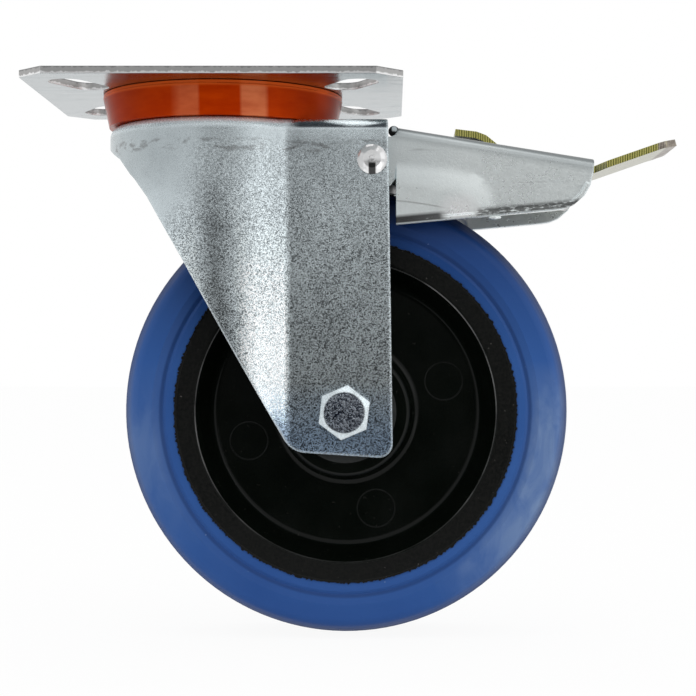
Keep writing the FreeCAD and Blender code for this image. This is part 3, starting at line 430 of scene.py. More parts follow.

# Above the leg the rim is folded under into a lens-shaped hollow, painted dark as shade. The
# cup's own rim is bent over instead, and carries a painted highlight like the punched edges.
hollow_floor, hollow_full = -0.0140, -0.0136
hollow_top = plus(tree, spread(tree, point["X"], 0.0290, 0.0360, -0.0121, -0.0134),
                  spread(tree, point["X"], 0.0400, 0.0460, 0.0, 0.0011))
hollow_shade = times(tree, spread(tree, minus(tree, hollow_top, point["Z"]), -0.0001, 0.0003),
               spread(tree, point["Z"], hollow_floor, hollow_full),
               spread(tree, point["X"], crease_end, 0.0230, 0.0, 0.85))
colour = mixed(tree, hollow_shade, colour, hollow_shade_colour)
bent_rim_highlight = times(tree, spread(tree, point["Z"], -0.0146, -0.0128),
                 spread(tree, point["X"], 0.0215, 0.0195))
colour = coated(tree, colour, bent_rim_highlight, 0.75, zinc(0.98))
# The punched edges carry a painted highlight: lighter, less metallic, over a rounded normal.
edge = with_group(tree, edge_mark, {"Width": 0.0011})
highlight_share = math_node(tree, "MAXIMUM", bent_rim_highlight, times(tree, edge["Mark"], 0.9))
smoother = times(tree, plus(tree, trough_with_shade, stretched_with_highlight), 0.07)
tree.links.new(mixed(tree, edge["Mark"], colour, zinc(0.97)), shader.inputs["Base Color"])
tree.links.new(minus(tree, skin["Roughness"], smoother), shader.inputs["Roughness"])
tree.links.new(spread(tree, highlight_share, 0.0, 1.0, 1.0, 0.3), shader.inputs["Metallic"])
bump(tree, shader, skin["Height"], 0.00006, 0.7, over=edge["Rounded"])
stands_for(softened("fork", "fork_sheet", 0.00036), "fork", "fork", fork_finish)


# Seal ring. An orange plastic cone, injection moulded, pushed over the ball race so that no
# thread or dirt gets in. Its skin is smooth and glossy, with a painted highlight along the upper
# rim and in two streaks, and painted shade towards both sides.

orange, bright_orange = (0.42, 0.026, 0.0003, 1.0), (0.54, 0.046, 0.0010, 1.0)
side_shade_orange = (0.24, 0.020, 0.0005, 1.0)
highlight_orange = (0.80, 0.24, 0.10, 1.0)
rim_highlight_orange = (0.74, 0.110, 0.016, 1.0)

seal_finish, tree, shader = new_finish("orange_plastic")
place = object_place(tree)
point = parts_of(tree, place)
seal_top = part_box("seal_ring")[1].z
flow = noise(tree, object_place(tree, stretch=(1.0, 1.0, 3.0)), 110.0)
colour = mixed(tree, spread(tree, flow, 0.3, 0.7), orange, bright_orange)
# Painted shade towards both sides.
side_shade = spread(tree, size_of(tree, point["X"]), 0.017, 0.030, 0.0, 0.6)
colour = mixed(tree, side_shade, colour, side_shade_orange)
# Two painted highlight streaks.
left_highlight = between(tree, point["X"], -0.0115, -0.0085, -0.0040, -0.0032)
right_highlight = between(tree, point["X"], 0.0072, 0.0080, 0.0138, 0.0150)
streak_highlights = plus(tree, times(tree, left_highlight, 0.45), times(tree, right_highlight, 0.75))
streak_highlights = times(tree, streak_highlights, spread(tree, flow, 0.35, 0.65, 0.6, 1.0))
colour = mixed(tree, streak_highlights, colour, highlight_orange)
# A thin painted highlight along the upper rim.
seal_rim_highlight = spread(tree, point["Z"], seal_top - 0.0012, seal_top - 0.0006)
tree.links.new(coated(tree, colour, seal_rim_highlight, 0.8, rim_highlight_orange), shader.inputs["Base Color"])
fine = noise(tree, place, 1500.0, detail=2.0)
tree.links.new(spread(tree, fine, 0.3, 0.7, 0.14, 0.22), shader.inputs["Roughness"])
shader.inputs["Specular IOR Level"].default_value = 0.045
shader.inputs["Specular Tint"].default_value = (1.0, 0.55, 0.30, 1.0)
bump(tree, shader, fine, 0.00001, 0.3)
give_finish(seal_finish, "seal_ring")


def turned_ring(name, steps, section, place_at, finish):
    """A closed ring. The section lists each step's radii and offsets, place_at puts them down."""
    shape = bmesh.new()
    rows = []
    for step in range(steps):
        angle = 2.0 * math.pi * step / steps
        rows.append([shape.verts.new(place_at(radius, angle, offset))
                     for radius, offset in section(step)])
    for step in range(steps):
        here, after = rows[step], rows[(step + 1) % steps]
        for k in range(len(here)):
            following = (k + 1) % len(here)
            shape.faces.new((here[k], here[following], after[following], after[k]))
    bmesh.ops.recalc_face_normals(shape, faces=shape.faces)
    mesh = bpy.data.meshes.new(name)
    shape.to_mesh(mesh)
    shape.free()
    mesh.materials.append(finish)
    ring = bpy.data.objects.new(name, mesh)
    bpy.context.scene.collection.objects.link(ring)
    return ring


# Lip. The ring's upper edge runs out into a soft, thin lip that brushes the plate's underside.
lip_section = ((0.03300, -0.00275), (0.03378, -0.00285), (0.03384, -0.00222),
               (0.03376, -0.00212), (0.03335, -0.00212))


def round_swivel(radius, angle, height):
    """A point at a radius round the swivel's axis, at a height."""
    return (radius * math.cos(angle), radius * math.sin(angle), height)


seal_lip = turned_ring("seal_lip", 144, lambda step: lip_section, round_swivel, seal_finish)
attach(seal_lip, "fork")


# Wheel core. Black glass-filled nylon, injection moulded in one shot: rim, flat web and hub.
# The rim's outer band is left matt and scraped where the tyre's flash was trimmed off, a thin
# grey painted highlight runs round its inner edge, and the web shows the weak sheen of the mould.

def specks_group():
    """Rare small pale specks, as dust or chips leave on a moulded skin."""
    group, given, result = new_group("specks", [
        ("Place", "NodeSocketVector", None),
        ("Per Metre", "NodeSocketFloat", 500.0),
        ("Rarity", "NodeSocketFloat", 0.72),
    ], [("Mark", "NodeSocketFloat", None)])
    sharpness = 25.0
    grain = noise(group, given.outputs["Place"], given.outputs["Per Metre"], detail=2.0,
                  roughness=0.7)
    above = minus(group, grain, given.outputs["Rarity"])
    mark = math_node(group, "MULTIPLY", above, sharpness, clamp=True)
    group.links.new(mark, result.inputs["Mark"])
    return group


specks = specks_group()


def distance_from(tree, middle, stretch=(1.0, 0.0, 1.0)):
    """How far the point is from a line along Y through a middle, in metres."""
    shift = tuple(-there * factor for there, factor in zip(middle, stretch))
    return node(tree, "ShaderNodeVectorMath", {0: object_place(tree, stretch, shift=shift)},
                operation="LENGTH").outputs["Value"]


wheel_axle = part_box("wheel_core")[0].lerp(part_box("wheel_core")[1], 0.5)
band_start, band_full = 0.0417, 0.0425
web_dark, web_pale = (0.0018, 0.0030, 0.0020, 1.0), (0.0030, 0.0042, 0.0031, 1.0)
band_dark, band_pale = (0.0006, 0.0012, 0.0009, 1.0), (0.0056, 0.0056, 0.0046, 1.0)

core_finish, tree, shader = new_finish("black_nylon")
place = object_place(tree)
point = parts_of(tree, place)
radius = distance_from(tree, wheel_axle)
band = spread(tree, radius, band_start, band_full)
cloudy = noise(tree, place, 70.0, detail=4.0)
scraped = noise(tree, object_place(tree, stretch=(1.0, 0.5, 1.0)), 1100.0, detail=4.0,
                roughness=0.7)
web = mixed(tree, spread(tree, cloudy, 0.35, 0.7), web_dark, web_pale)
scraped_band = mixed(tree, spread(tree, scraped, 0.4, 0.7), band_dark, band_pale)
colour = mixed(tree, band, web, scraped_band)
chips = with_group(tree, specks, {"Place": place, "Per Metre": 620.0, "Rarity": 0.69})
chipped = times(tree, chips["Mark"], spread(tree, radius, 0.040, 0.047, 0.15, 0.9))
colour = mixed(tree, chipped, colour, grey(0.09, 0.08))

# A painted highlight runs round the rim's inner edge on both sides, and fades towards the bottom.
above_axle = minus(tree, point["Z"], wheel_axle.z)
rim_highlight_line = times(tree, between(tree, radius, 0.04145, 0.04155, 0.04175, 0.04185),
                 spread(tree, size_of(tree, point["Y"]), 0.0150, 0.0158),
                 spread(tree, above_axle, -0.036, -0.008, 0.15, 1.0),
                 spread(tree, cloudy, 0.40, 0.60, 0.25, 0.85))
# A faint painted highlight lies on the edges too.
edge = with_group(tree, edge_mark, {"Width": 0.0004})
edge_highlights = plus(tree, rim_highlight_line, times(tree, edge["Mark"], 0.05), clamp=True)
band_rough = times(tree, band, spread(tree, scraped, 0.3, 0.7, 0.12, 0.36))
tree.links.new(mixed(tree, edge_highlights, colour, grey(0.24)), shader.inputs["Base Color"])
tree.links.new(plus(tree, spread(tree, cloudy, 0.3, 0.7, 0.16, 0.24), band_rough),
               shader.inputs["Roughness"])
shader.inputs["Specular IOR Level"].default_value = 0.15
bump(tree, shader, times(tree, scraped, plus(tree, times(tree, band, 0.92), 0.08)), 0.00012,
     0.7)
stands_for(softened("wheel_core", "core_moulding", 0.00018), "wheel_core", "wheel", core_finish)


# Tyre. Blue elastic rubber moulded round the core's keyed rim. The skin is smooth with a soft
# painted sheen on both sides and painted shade at the top, and is darker on the tread; an inner
# bead stands beside a shallow groove, which is darkened with painted shade.

deep_blue, clear_blue = (0.019, 0.078, 0.285, 1.0), (0.036, 0.116, 0.365, 1.0)
sheen_blue = (0.195, 0.290, 0.480, 1.0)
upper_shade_blue, top_shade_blue = (0.006, 0.032, 0.140, 1.0), (0.001, 0.010, 0.055, 1.0)
groove_shade_blue, tread_blue = (0.006, 0.028, 0.120, 1.0), (0.004, 0.022, 0.100, 1.0)
dust_blue = (0.16, 0.24, 0.42, 1.0)

rubber_finish, tree, shader = new_finish("blue_rubber")
place = object_place(tree)
point = parts_of(tree, place)
radius = distance_from(tree, wheel_axle)
behind_axle = minus(tree, point["X"], wheel_axle.x)
above_axle = minus(tree, point["Z"], wheel_axle.z)
cloudy = noise(tree, place, 26.0, detail=4.0)
bloom = noise(tree, place, 9.0, detail=2.0)
share = plus(tree, times(tree, spread(tree, cloudy, 0.3, 0.7), 0.5),
             times(tree, spread(tree, bloom, 0.35, 0.65), 0.5))
colour = mixed(tree, share, deep_blue, clear_blue)

# The painted sheen lies in wisps on the side faces' outer part, beside and below the axle. It is
# weaker in front than behind.
sideways = math_node(tree, "DIVIDE", size_of(tree, behind_axle), radius)
wisps = noise(tree, object_place(tree, stretch=(1.0, 1.0, 0.5)), 120.0, detail=5.0,
              distortion=1.2)
weaker = times(tree, spread(tree, behind_axle, 0.0, -0.010),
               spread(tree, above_axle, -0.010, -0.034, 0.62, 0.90))
painted_sheen = times(tree, spread(tree, sideways, 0.45, 0.95), spread(tree, above_axle, 0.014, -0.008),
             spread(tree, radius, 0.0500, 0.0535), spread(tree, wisps, 0.35, 0.65, 0.35, 0.95),
             minus(tree, 1.0, weaker))
colour = mixed(tree, painted_sheen, colour, sheen_blue)
# Painted shade darkens the upper part and, more, the top under the housing.
colour = mixed(tree, spread(tree, above_axle, 0.014, 0.057, 0.0, 0.85), colour, upper_shade_blue)
colour = mixed(tree, spread(tree, above_axle, 0.044, 0.056, 0.0, 0.75), colour, top_shade_blue)
# Painted shade darkens the groove.
groove_shade = between(tree, radius, 0.0502, 0.0507, 0.0511, 0.0517)
colour = coated(tree, colour, groove_shade, 0.5, groove_shade_blue)
tread = spread(tree, radius, 0.0588, 0.0610)
colour = coated(tree, colour, tread, 0.75, tread_blue)
dust = with_group(tree, specks, {"Place": place, "Per Metre": 420.0, "Rarity": 0.73})
tree.links.new(coated(tree, colour, dust["Mark"], 0.5, dust_blue),
               shader.inputs["Base Color"])
tree.links.new(plus(tree, spread(tree, cloudy, 0.3, 0.7, 0.36, 0.50), times(tree, tread, 0.25)),
               shader.inputs["Roughness"])
shader.inputs["Specular IOR Level"].default_value = 0.18
skin_height = plus(tree, times(tree, noise(tree, place, 150.0), 0.7),
                   times(tree, noise(tree, place, 1300.0, detail=2.0), 0.3))
bump(tree, shader, skin_height, 0.00016, 0.5)
give_finish(rubber_finish, "tyre")


# Flash. A torn skin of black nylon left standing over the rubber where the rim was trimmed, one
# ring on each side. How far it reaches out and how high it rises changes from step to step.
rim_radius = 0.0472
rim_side = 0.0162
sunk = 0.0001
flash_foot, flash_top = 0.0006, 0.0001
inner_wander = 0.0002
least_reach, more_reach = 0.00005, 0.00055
least_rise, more_rise = 0.00028, 0.00016


def round_axle(radius, angle, side):
    """A point at a radius round the wheel's axle, at a place across the wheel."""
    return (wheel_axle.x + radius * math.cos(angle), side,
            wheel_axle.z + radius * math.sin(angle))


for name, outward, seed in (("flash_near", -1.0, 3), ("flash_far", 1.0, 4)):
    chance = random.Random(seed)

    def torn_section(step):
        """One step's four corners, torn off at a reach and rise of its own."""
        reach = least_reach + more_reach * chance.random() ** 2.5
        rise = least_rise + more_rise * chance.random()
        return (
            (rim_radius - flash_foot, outward * (rim_side - sunk)),
            (rim_radius - inner_wander * chance.random(), outward * (rim_side + rise * 0.6)),
            (rim_radius + reach, outward * (rim_side + rise)),
            (rim_radius + reach + flash_top, outward * (rim_side - sunk)),
        )

    flash = turned_ring(name, 720, torn_section, round_axle, core_finish)
    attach(flash, "wheel")

# Tread seam. The low parting ridge of the mould, round the middle of the tread.
tread_radius = 0.0625
seam_height = 0.00009
seam_foot, seam_crown = 0.00022, 0.00005
seam_section = ((tread_radius - sunk, -seam_foot), (tread_radius + seam_height, -seam_crown),
                (tread_radius + seam_height, seam_crown), (tread_radius - sunk, seam_foot))
seam = turned_ring("tread_seam", 360, lambda step: seam_section, round_axle, rubber_finish)
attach(seam, "wheel")


# Hub seals. Grey plastic discs pressed into both ends of the hub to keep the grease in.

def plain_plastic(name, per_metre, dark, pale, bump_depth, bump_strength):
    """A finish of plain moulded plastic, between two colours, with an even grain."""
    finish, tree, shader = new_finish(name)
    grain = noise(tree, object_place(tree), per_metre)
    tree.links.new(mixed(tree, spread(tree, grain, 0.35, 0.65), dark, pale),
                   shader.inputs["Base Color"])
    tree.links.new(spread(tree, grain, 0.3, 0.7, 0.35, 0.5), shader.inputs["Roughness"])
    bump(tree, shader, grain, bump_depth, bump_strength)
    return finish


give_finish(plain_plastic("grey_plastic", 1100.0, (0.012, 0.014, 0.013, 1.0),
                          (0.022, 0.024, 0.022, 1.0), 0.00005, 0.5), "hub_seals")

# Roller cage and nut insert. Both are white nylon, a little yellowed by grease.
give_finish(plain_plastic("white_nylon", 180.0, (0.62, 0.60, 0.53, 1.0),
                          (0.74, 0.73, 0.68, 1.0), 0.00008, 0.4), "roller_cage", "nut_insert")


# Axle bolt, washer and lock nut. Bought-in zinc-plated fasteners: a cold-headed hexagon with a
# painted highlight on its chamfer and edges, round a slightly hollow, blue-grey grained face,
# tightened against the legs.

hollow_edge, chamfer_start = 0.0052, 0.0056

bolt_finish, tree, shader = new_finish("bolt_zinc")
skin = with_group(tree, zinc_skin, {
    "Place": object_place(tree), "Crystals": 2800.0, "Crystal Contrast": 3.2, "Clouds": 160.0,
    "Dull": (0.025, 0.040, 0.085, 1.0), "Bright": (0.62, 0.68, 0.76, 1.0),
    "Smooth": 0.16, "Rough": 0.30,
})
# Painted highlight on the chamfer ring and on the edges.
edge = with_group(tree, edge_mark, {"Width": 0.0005})
chamfer_highlight = spread(tree, distance_from(tree, wheel_axle), hollow_edge, chamfer_start)
colour = coated(tree, skin["Color"], chamfer_highlight, 0.80, zinc(0.80))
tree.links.new(mixed(tree, edge["Mark"], colour, zinc(0.95)), shader.inputs["Base Color"])
tree.links.new(skin["Roughness"], shader.inputs["Roughness"])
shader.inputs["Metallic"].default_value = 1.0
bump(tree, shader, skin["Height"], 0.00008, 0.6, over=edge["Rounded"])
give_finish(bolt_finish, "axle_bolt", "washer", "axle_nut")


# Cross rivet. Soft steel bar headed over on both legs into a polished dome with a small nib;
# below it a painted dark reflection runs down, with a painted highlight on both sides.

rivet_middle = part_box("cross_rivet")[0].lerp(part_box("cross_rivet")[1], 0.5)
dark_streak_core, dark_streak_edge = 0.00080, 0.00115
side_light_core, side_light_edge = 0.0022, 0.0027

rivet_finish, tree, shader = new_finish("rivet_zinc")
place = object_place(tree)
point = parts_of(tree, place)
skin = with_group(tree, zinc_skin, {
    "Place": place, "Crystals": 1500.0, "Crystal Contrast": 0.3, "Clouds": 300.0,
    "Dull": grey(0.62), "Bright": grey(0.80), "Smooth": 0.10, "Rough": 0.20,
})
# Painted dark reflection below the nib, with painted highlights beside it.
beside = size_of(tree, minus(tree, point["X"], rivet_middle.x))
below = spread(tree, point["Z"], rivet_middle.z - 0.0008, rivet_middle.z - 0.0013)
side_highlights = times(tree, spread(tree, beside, side_light_edge, side_light_core), below)
dark_reflection = times(tree, spread(tree, beside, dark_streak_edge, dark_streak_core), below)
colour = mixed(tree, side_highlights, skin["Color"], grey(1.0))
tree.links.new(coated(tree, colour, dark_reflection, 0.97, grey(0.02)), shader.inputs["Base Color"])
tree.links.new(skin["Roughness"], shader.inputs["Roughness"])
shader.inputs["Metallic"].default_value = 0.55
bump(tree, shader, skin["Height"], 0.00003, 0.4)
give_finish(rivet_finish, "cross_rivet")


# Brake housing. Folded steel channel riveted between the legs, its walls pressed out beside the
# tyre and flared along the lower edge. Brighter and more even plating than the fork's, with a
# few drag lines from the bending tool below the top fold.

housing_finish, tree, shader = new_finish("housing_zinc")
place = object_place(tree)
point = parts_of(tree, place)
skin = with_group(tree, zinc_skin, {
    "Place": place, "Crystals": 1900.0, "Crystal Contrast": 0.38, "Clouds": 45.0,
    "Dull": (0.67, 0.71, 0.705, 1.0), "Bright": (0.84, 0.89, 0.885, 1.0),
    "Smooth": 0.26, "Rough": 0.40,
})

# Drag lines run along the top fold, which falls towards the pedal.
fold_angle = math.radians(-9.6)
fold_slope = 0.168
along_fold = object_place(tree, stretch=(0.06, 1.0, 1.0), turn=(0.0, fold_angle, 0.0))
drag = spread(tree, noise(tree, along_fold, 900.0, detail=2.0), 0.62, 0.70)
fold_depth = plus(tree, point["Z"], times(tree, point["X"], fold_slope))
dragged = times(tree, drag, between(tree, fold_depth, -0.0165, -0.0150, -0.0105, -0.0092))
colour = coated(tree, skin["Color"], dragged, 0.5, grey(0.25))

# Painted shade darkens the near wall's flared lip, except where the pressed part bulges over it.
lip_slope, lip_drop = 0.0925, 0.0445
corner = spread(tree, point["X"], 0.0680, 0.0520)
above_lip = plus(tree, minus(tree, point["Z"], times(tree, point["X"], lip_slope)), lip_drop)
above_lip = plus(tree, above_lip, spread(tree, point["Y"], -0.005, 0.005))
lip_shade_ragged = noise(tree, object_place(tree, stretch=(0.35, 1.0, 1.0)), 1500.0)
lip_shade_ragged = spread(tree, plus(tree, lip_shade_ragged, times(tree, corner, 0.22)), 0.33, 0.49)
unshaded_span = between(tree, point["X"], 0.0610, 0.0635, 0.0700, 0.0715)
lip_shade = times(tree, between(tree, above_lip, 0.0001, 0.0005, 0.0018, 0.0028), lip_shade_ragged,
               spread(tree, unshaded_span, 0.0, 1.0, 1.0, 0.1))
colour = coated(tree, colour, lip_shade, spread(tree, corner, 0.0, 1.0, 0.85, 0.97), grey(0.035))

# A thin line of painted shade marks a wrinkle that curves down from the front edge.
wrinkle_x, wrinkle_z = 0.0495, -0.0335
wrinkle_fall, wrinkle_curve = 0.09, 4.5
past = minus(tree, point["X"], wrinkle_x)
fallen = times(tree, past, plus(tree, times(tree, past, wrinkle_curve), wrinkle_fall))
off_wrinkle = size_of(tree, plus(tree, minus(tree, point["Z"], wrinkle_z), fallen))
wrinkle_shade = times(tree, spread(tree, off_wrinkle, 0.00032, 0.00008),
                spread(tree, point["X"], 0.0640, 0.0600))
colour = coated(tree, colour, wrinkle_shade, 0.5, grey(0.22))

# A painted highlight lies over the pressed part's bulge, and painted shade above it.
bulge_squash = 1.3
bulge = (0.0665, 0.0, -0.0462 / bulge_squash)
bulge_highlight = spread(tree, distance_from(tree, bulge, (1.0, 0.0, bulge_squash)), 0.0065, 0.0020)
colour = coated(tree, colour, bulge_highlight, 0.7, grey(1.0))
above_bulge_shade = times(tree, spread(tree, point["X"], 0.0680, 0.0560),
               spread(tree, point["Z"], -0.0310, -0.0270))
colour = coated(tree, colour, above_bulge_shade, 0.30, zinc(0.40))

# The fold is darker, with a darker line on its crest; the cut edges carry a painted highlight
# except on the shaded lip.
top_fold = spread(tree, fold_depth, -0.0090, -0.0066)
colour = coated(tree, colour, top_fold, 0.6, zinc(0.34))
edge = with_group(tree, edge_mark, {"Width": 0.0006})
colour = coated(tree, colour, edge["Mark"], spread(tree, lip_shade, 0.0, 0.8, 1.0, 0.0),
                zinc(0.95))
crest = times(tree, spread(tree, fold_depth, -0.0061, -0.0056),
              spread(tree, size_of(tree, point["Y"]), 0.0200, 0.0210))
tree.links.new(coated(tree, colour, crest, 0.8, zinc(0.12)), shader.inputs["Base Color"])
tree.links.new(skin["Roughness"], shader.inputs["Roughness"])
shader.inputs["Metallic"].default_value = 0.72
bump(tree, shader, skin["Height"], 0.00006, 0.5, over=edge["Rounded"])

# The notch in the front upper corner is narrowed: its rear edge is drawn forward, by a least
# amount at its front end and so much more at its rear end, and further on the far wall.
notch_front, notch_rear, notch_floor = 0.0488, 0.0521, -0.0162
rear_edge_start, rear_edge_length = 0.0492, 0.0024
near_least, near_more = 0.0015, 0.0004
far_least, far_more = 0.0020, 0.0018
housing_sheet = softened("brake_housing", "housing_sheet", 0.00025)
for vertex in housing_sheet.data.vertices:
    if notch_front < vertex.co.x < notch_rear and vertex.co.z > notch_floor:
        along = min(1.0, max(0.0, (vertex.co.x - rear_edge_start) / rear_edge_length))
        if vertex.co.y < 0.0:
            vertex.co.x -= near_least + near_more * along
        else:
            vertex.co.x -= far_least + far_more * along
stands_for(housing_sheet, "brake_housing", "fork", housing_finish)

# Corner curl. The front corner of the channel's top, nipped and curled down inside the near wall
# when the sheet was folded; its rim is painted black as shade, lighter towards the middle.
curl_middle = Vector((0.04850, -0.0206, -0.01422))
curl_radius, curl_thickness, curl_rounding = 0.00146, 0.001026, 0.0002
lit_middle = curl_middle + Vector((0.0002, 0.0, 0.0006))
shade_start, shade_full, shade_wander = 0.0009, 0.0012, 0.0006

curl_finish, tree, shader = new_finish("curl_zinc")
curl_noise = noise(tree, object_place(tree), 1200.0, detail=2.0)
outward_shade = plus(tree, distance_from(tree, lit_middle), times(tree, curl_noise, shade_wander))
rim_shade = spread(tree, outward_shade, shade_start, shade_full)
tree.links.new(mixed(tree, rim_shade, zinc(0.60), grey(0.012)), shader.inputs["Base Color"])
tree.links.new(spread(tree, curl_noise, 0.3, 0.7, 0.25, 0.45), shader.inputs["Roughness"])
shader.inputs["Metallic"].default_value = 0.7
bpy.ops.mesh.primitive_cylinder_add(vertices=32, radius=curl_radius, depth=curl_thickness,
                                    location=curl_middle, rotation=(math.radians(90.0), 0.0, 0.0))
curl = bpy.context.object
curl.name = "corner_curl"
bpy.ops.object.transform_apply(location=True, rotation=True, scale=True)
bpy.ops.object.modifier_add(type="BEVEL")
curl.modifiers[-1].width = curl_rounding
curl.modifiers[-1].segments = 2
bpy.ops.object.modifier_apply(modifier=curl.modifiers[-1].name)
bpy.ops.object.shade_smooth_by_angle(angle=math.radians(40.0))
curl.data.materials.append(curl_finish)
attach(curl, "fork")

# Nub. A small blob of plating that dripped and set on the near wall's lower lip.
nub_middle = Vector((0.0762, -0.0232, -0.0378))
nub_size = Vector((0.0016, 0.0007, 0.0009))
bpy.ops.mesh.primitive_ico_sphere_add(subdivisions=4, radius=0.001, location=(0.0, 0.0, 0.0))
nub = bpy.context.object
nub.name = "lip_nub"
chance = random.Random(8)
lumps = []
for lump in range(7):
    lump_way = Vector([chance.uniform(-1, 1) for axis in range(3)]).normalized()
    lumps.append((lump_way, chance.uniform(0.1, 0.4)))
for vertex in nub.data.vertices:
    way = vertex.co.normalized()
    swell = 0.8 + sum(size * max(0.0, way.dot(lump_way)) ** 6 for lump_way, size in lumps)
    vertex.co = way * nub_size * swell + nub_middle
bpy.ops.object.shade_smooth()
nub.data.materials.append(housing_finish)
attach(nub, "fork")


# Brake rocker and pad. Thick stamped steel with a ridged block under it, barrel plated dull
# grey. The lever's cam presses them down towards the tyre.

rocker_finish = plated("rocker_zinc", {
    "Crystals": 1400.0, "Crystal Contrast": 0.8, "Clouds": 90.0,
    "Dull": grey(0.34), "Bright": grey(0.58), "Smooth": 0.30, "Rough": 0.50,
}, 0.00008, 0.6)
give_finish(rocker_finish, "brake_rocker", "brake_pad")


# Brake lever. Steel strip, bent and yellow chromated: the pedal behind and the release tab in
# front are one piece. The chromate is straw on the faces and olive to gold on the punched
# edges, which show the fine shear marks of the press; the tip's bevel is bare and brownish.

straw, pale_straw = (0.55, 0.53, 0.27, 1.0), (0.68, 0.66, 0.52, 1.0)
olive, gold = (0.100, 0.110, 0.020, 1.0), (0.50, 0.46, 0.15, 1.0)
underside_highlight_grey = (0.50, 0.50, 0.45, 1.0)
brown_steel, pale_steel = (0.22, 0.19, 0.16, 1.0), (0.36, 0.32, 0.27, 1.0)

lever_finish, tree, shader = new_finish("yellow_chromate")
place = object_place(tree)
point = parts_of(tree, place)
facing = facing_of(tree)
tint = noise(tree, place, 130.0)
face_colour = mixed(tree, spread(tree, tint, 0.35, 0.65), straw, pale_straw)
shear = node(tree, "ShaderNodeTexWave", {
    "Vector": object_place(tree, stretch=(1.0, 0.0, 0.25)),
    "Scale": 480.0, "Distortion": 2.2, "Detail": 3.0, "Detail Scale": 1.6,
}, wave_type="BANDS", bands_direction="X").outputs["Fac"]
on_edge = spread(tree, size_of(tree, facing["Y"]), 0.55, 0.80)
colour = mixed(tree, on_edge, face_colour, mixed(tree, shear, olive, gold))
# A painted highlight lightens the faces that look down.
below = spread(tree, facing["Z"], -0.5, -0.8)
colour = coated(tree, colour, below, 0.8, underside_highlight_grey)

# The tip is bare all round; its edge is bare a little further in.
bare_tip = spread(tree, point["X"], 0.1236, 0.1244)
bare_side = times(tree, spread(tree, point["X"], 0.1214, 0.1221), on_edge)
tip_colour = mixed(tree, spread(tree, noise(tree, place, 700.0), 0.4, 0.6), brown_steel,
                   pale_steel)
tree.links.new(mixed(tree, math_node(tree, "MAXIMUM", bare_tip, bare_side), colour, tip_colour),
               shader.inputs["Base Color"])
tree.links.new(spread(tree, tint, 0.3, 0.7, 0.30, 0.42), shader.inputs["Roughness"])
shader.inputs["Metallic"].default_value = 0.85
bump(tree, shader, times(tree, shear, on_edge), 0.00010, 0.7)
stands_for(softened("brake_lever", "lever_strip", 0.00012), "brake_lever", "lever",
           lever_finish)


# Studio. A white floor, a pale room that is dark only round the camera, a soft box in front on
# the right and one above. The camera looks level from just below the axle's height.

floor_size = 8.0
floor_front = -0.16
floor_gap = 0.0002
floor_glow = 0.93
bpy.ops.mesh.primitive_grid_add(
    x_subdivisions=2, y_subdivisions=2, size=floor_size,
    location=(0.0, floor_front + floor_size / 2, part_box("tyre")[0].z - floor_gap))
floor = bpy.context.object
floor.name = "studio_floor"
floor_finish = bpy.data.materials.new("studio_white")
floor_finish.use_nodes = True
tree = floor_finish.node_tree
tree.nodes.clear()
paper = node(tree, "ShaderNodeBsdfDiffuse", {"Color": (0.92, 0.92, 0.92, 1.0)})
glow = node(tree, "ShaderNodeEmission", {"Color": (1.0, 1.0, 1.0, 1.0), "Strength": 1.0})
ray = tree.nodes.new("ShaderNodeLightPath").outputs
shown = plus(tree, ray["Is Camera Ray"],
             plus(tree, ray["Is Glossy Ray"], ray["Is Transmission Ray"]), clamp=True)
both = node(tree, "ShaderNodeMixShader", {
    0: times(tree, shown, floor_glow), 1: paper.outputs[0], 2: glow.outputs[0],
})
underneath = tree.nodes.new("ShaderNodeNewGeometry").outputs["Backfacing"]
clear = tree.nodes.new("ShaderNodeBsdfTransparent").outputs[0]
open_below = node(tree, "ShaderNodeMixShader", {0: underneath, 1: both.outputs[0], 2: clear})
tree.links.new(open_below.outputs[0],
               tree.nodes.new("ShaderNodeOutputMaterial").inputs["Surface"])
floor.data.materials.append(floor_finish)

room = bpy.data.worlds.new("studio_room")
bpy.context.scene.world = room
room.use_nodes = True
tree = room.node_tree
tree.nodes.clear()
way = tree.nodes.new("ShaderNodeTexCoord").outputs["Generated"]


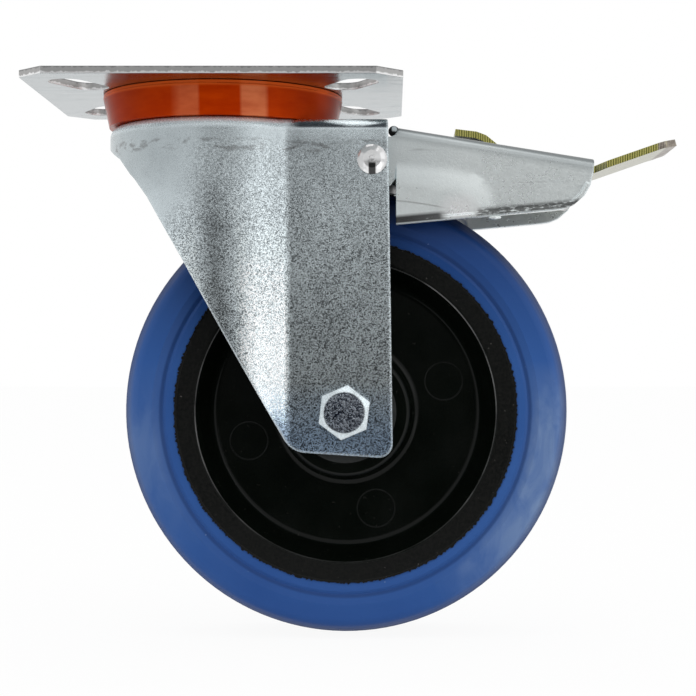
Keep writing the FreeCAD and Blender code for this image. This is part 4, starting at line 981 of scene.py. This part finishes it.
def towards(direction, low, high):
    """One where the room is looked at along a direction, zero away from it."""
    aim = Vector(direction).normalized()
    alike = node(tree, "ShaderNodeVectorMath", {0: way, 1: tuple(aim)},
                 operation="DOT_PRODUCT").outputs["Value"]
    return node(tree, "ShaderNodeMapRange", {
        "Value": alike, "From Min": low, "From Max": high,
    }, interpolation_type="SMOOTHERSTEP").outputs["Result"]


walls = mixed(tree, towards((0.0, 1.0, 0.0), -0.6, 0.5), grey(0.90, -0.01), grey(1.0))
for direction, low, high, tone in (
        ((0.0, -0.4, 0.9), 0.60, 0.95, grey(0.80)),
        ((0.02, -1.0, -0.55), 0.71, 0.90, grey(0.01, -0.04)),
        ((0.66, -0.75, -0.46), 0.90, 0.97, grey(1.7))):
    walls = mixed(tree, towards(direction, low, high), walls, tone)
ray = tree.nodes.new("ShaderNodeLightPath").outputs
sky = mixed(tree, ray["Is Camera Ray"], walls, grey(1.0))
background = node(tree, "ShaderNodeBackground", {"Color": sky, "Strength": 1.0})
tree.links.new(background.outputs[0], tree.nodes.new("ShaderNodeOutputWorld").inputs["Surface"])


def soft_box(name, size, power, place, target):
    """A square soft light at a place, turned to a target."""
    light = bpy.data.lights.new(name, "AREA")
    light.size = size
    light.energy = power
    lamp = bpy.data.objects.new(name, light)
    lamp.location = place
    lamp.rotation_euler = (Vector(target) - Vector(place)).to_track_quat("-Z", "Y").to_euler()
    bpy.context.scene.collection.objects.link(lamp)


castor_middle = Vector((0.03, 0.0, -0.07))
soft_box("top_box", 0.9, 1.8, (0.1, -0.3, 1.0), castor_middle)
soft_box("side_box", 0.6, 0.7, (0.80, -0.70, 0.35), castor_middle)

camera_data = bpy.data.cameras.new("studio_camera")
camera_data.sensor_width = 36.0
camera_data.lens = 91.16
camera_data.shift_x = -0.0603
camera_data.shift_y = 0.0330
camera_data.clip_start = 0.01
camera = bpy.data.objects.new("studio_camera", camera_data)
camera.location = (0.04747, -0.503, -0.0798)
camera.rotation_euler = (math.radians(90.0), 0.0, 0.0)
bpy.context.scene.collection.objects.link(camera)
bpy.context.scene.camera = camera

bpy.context.scene.view_settings.view_transform = "Standard"
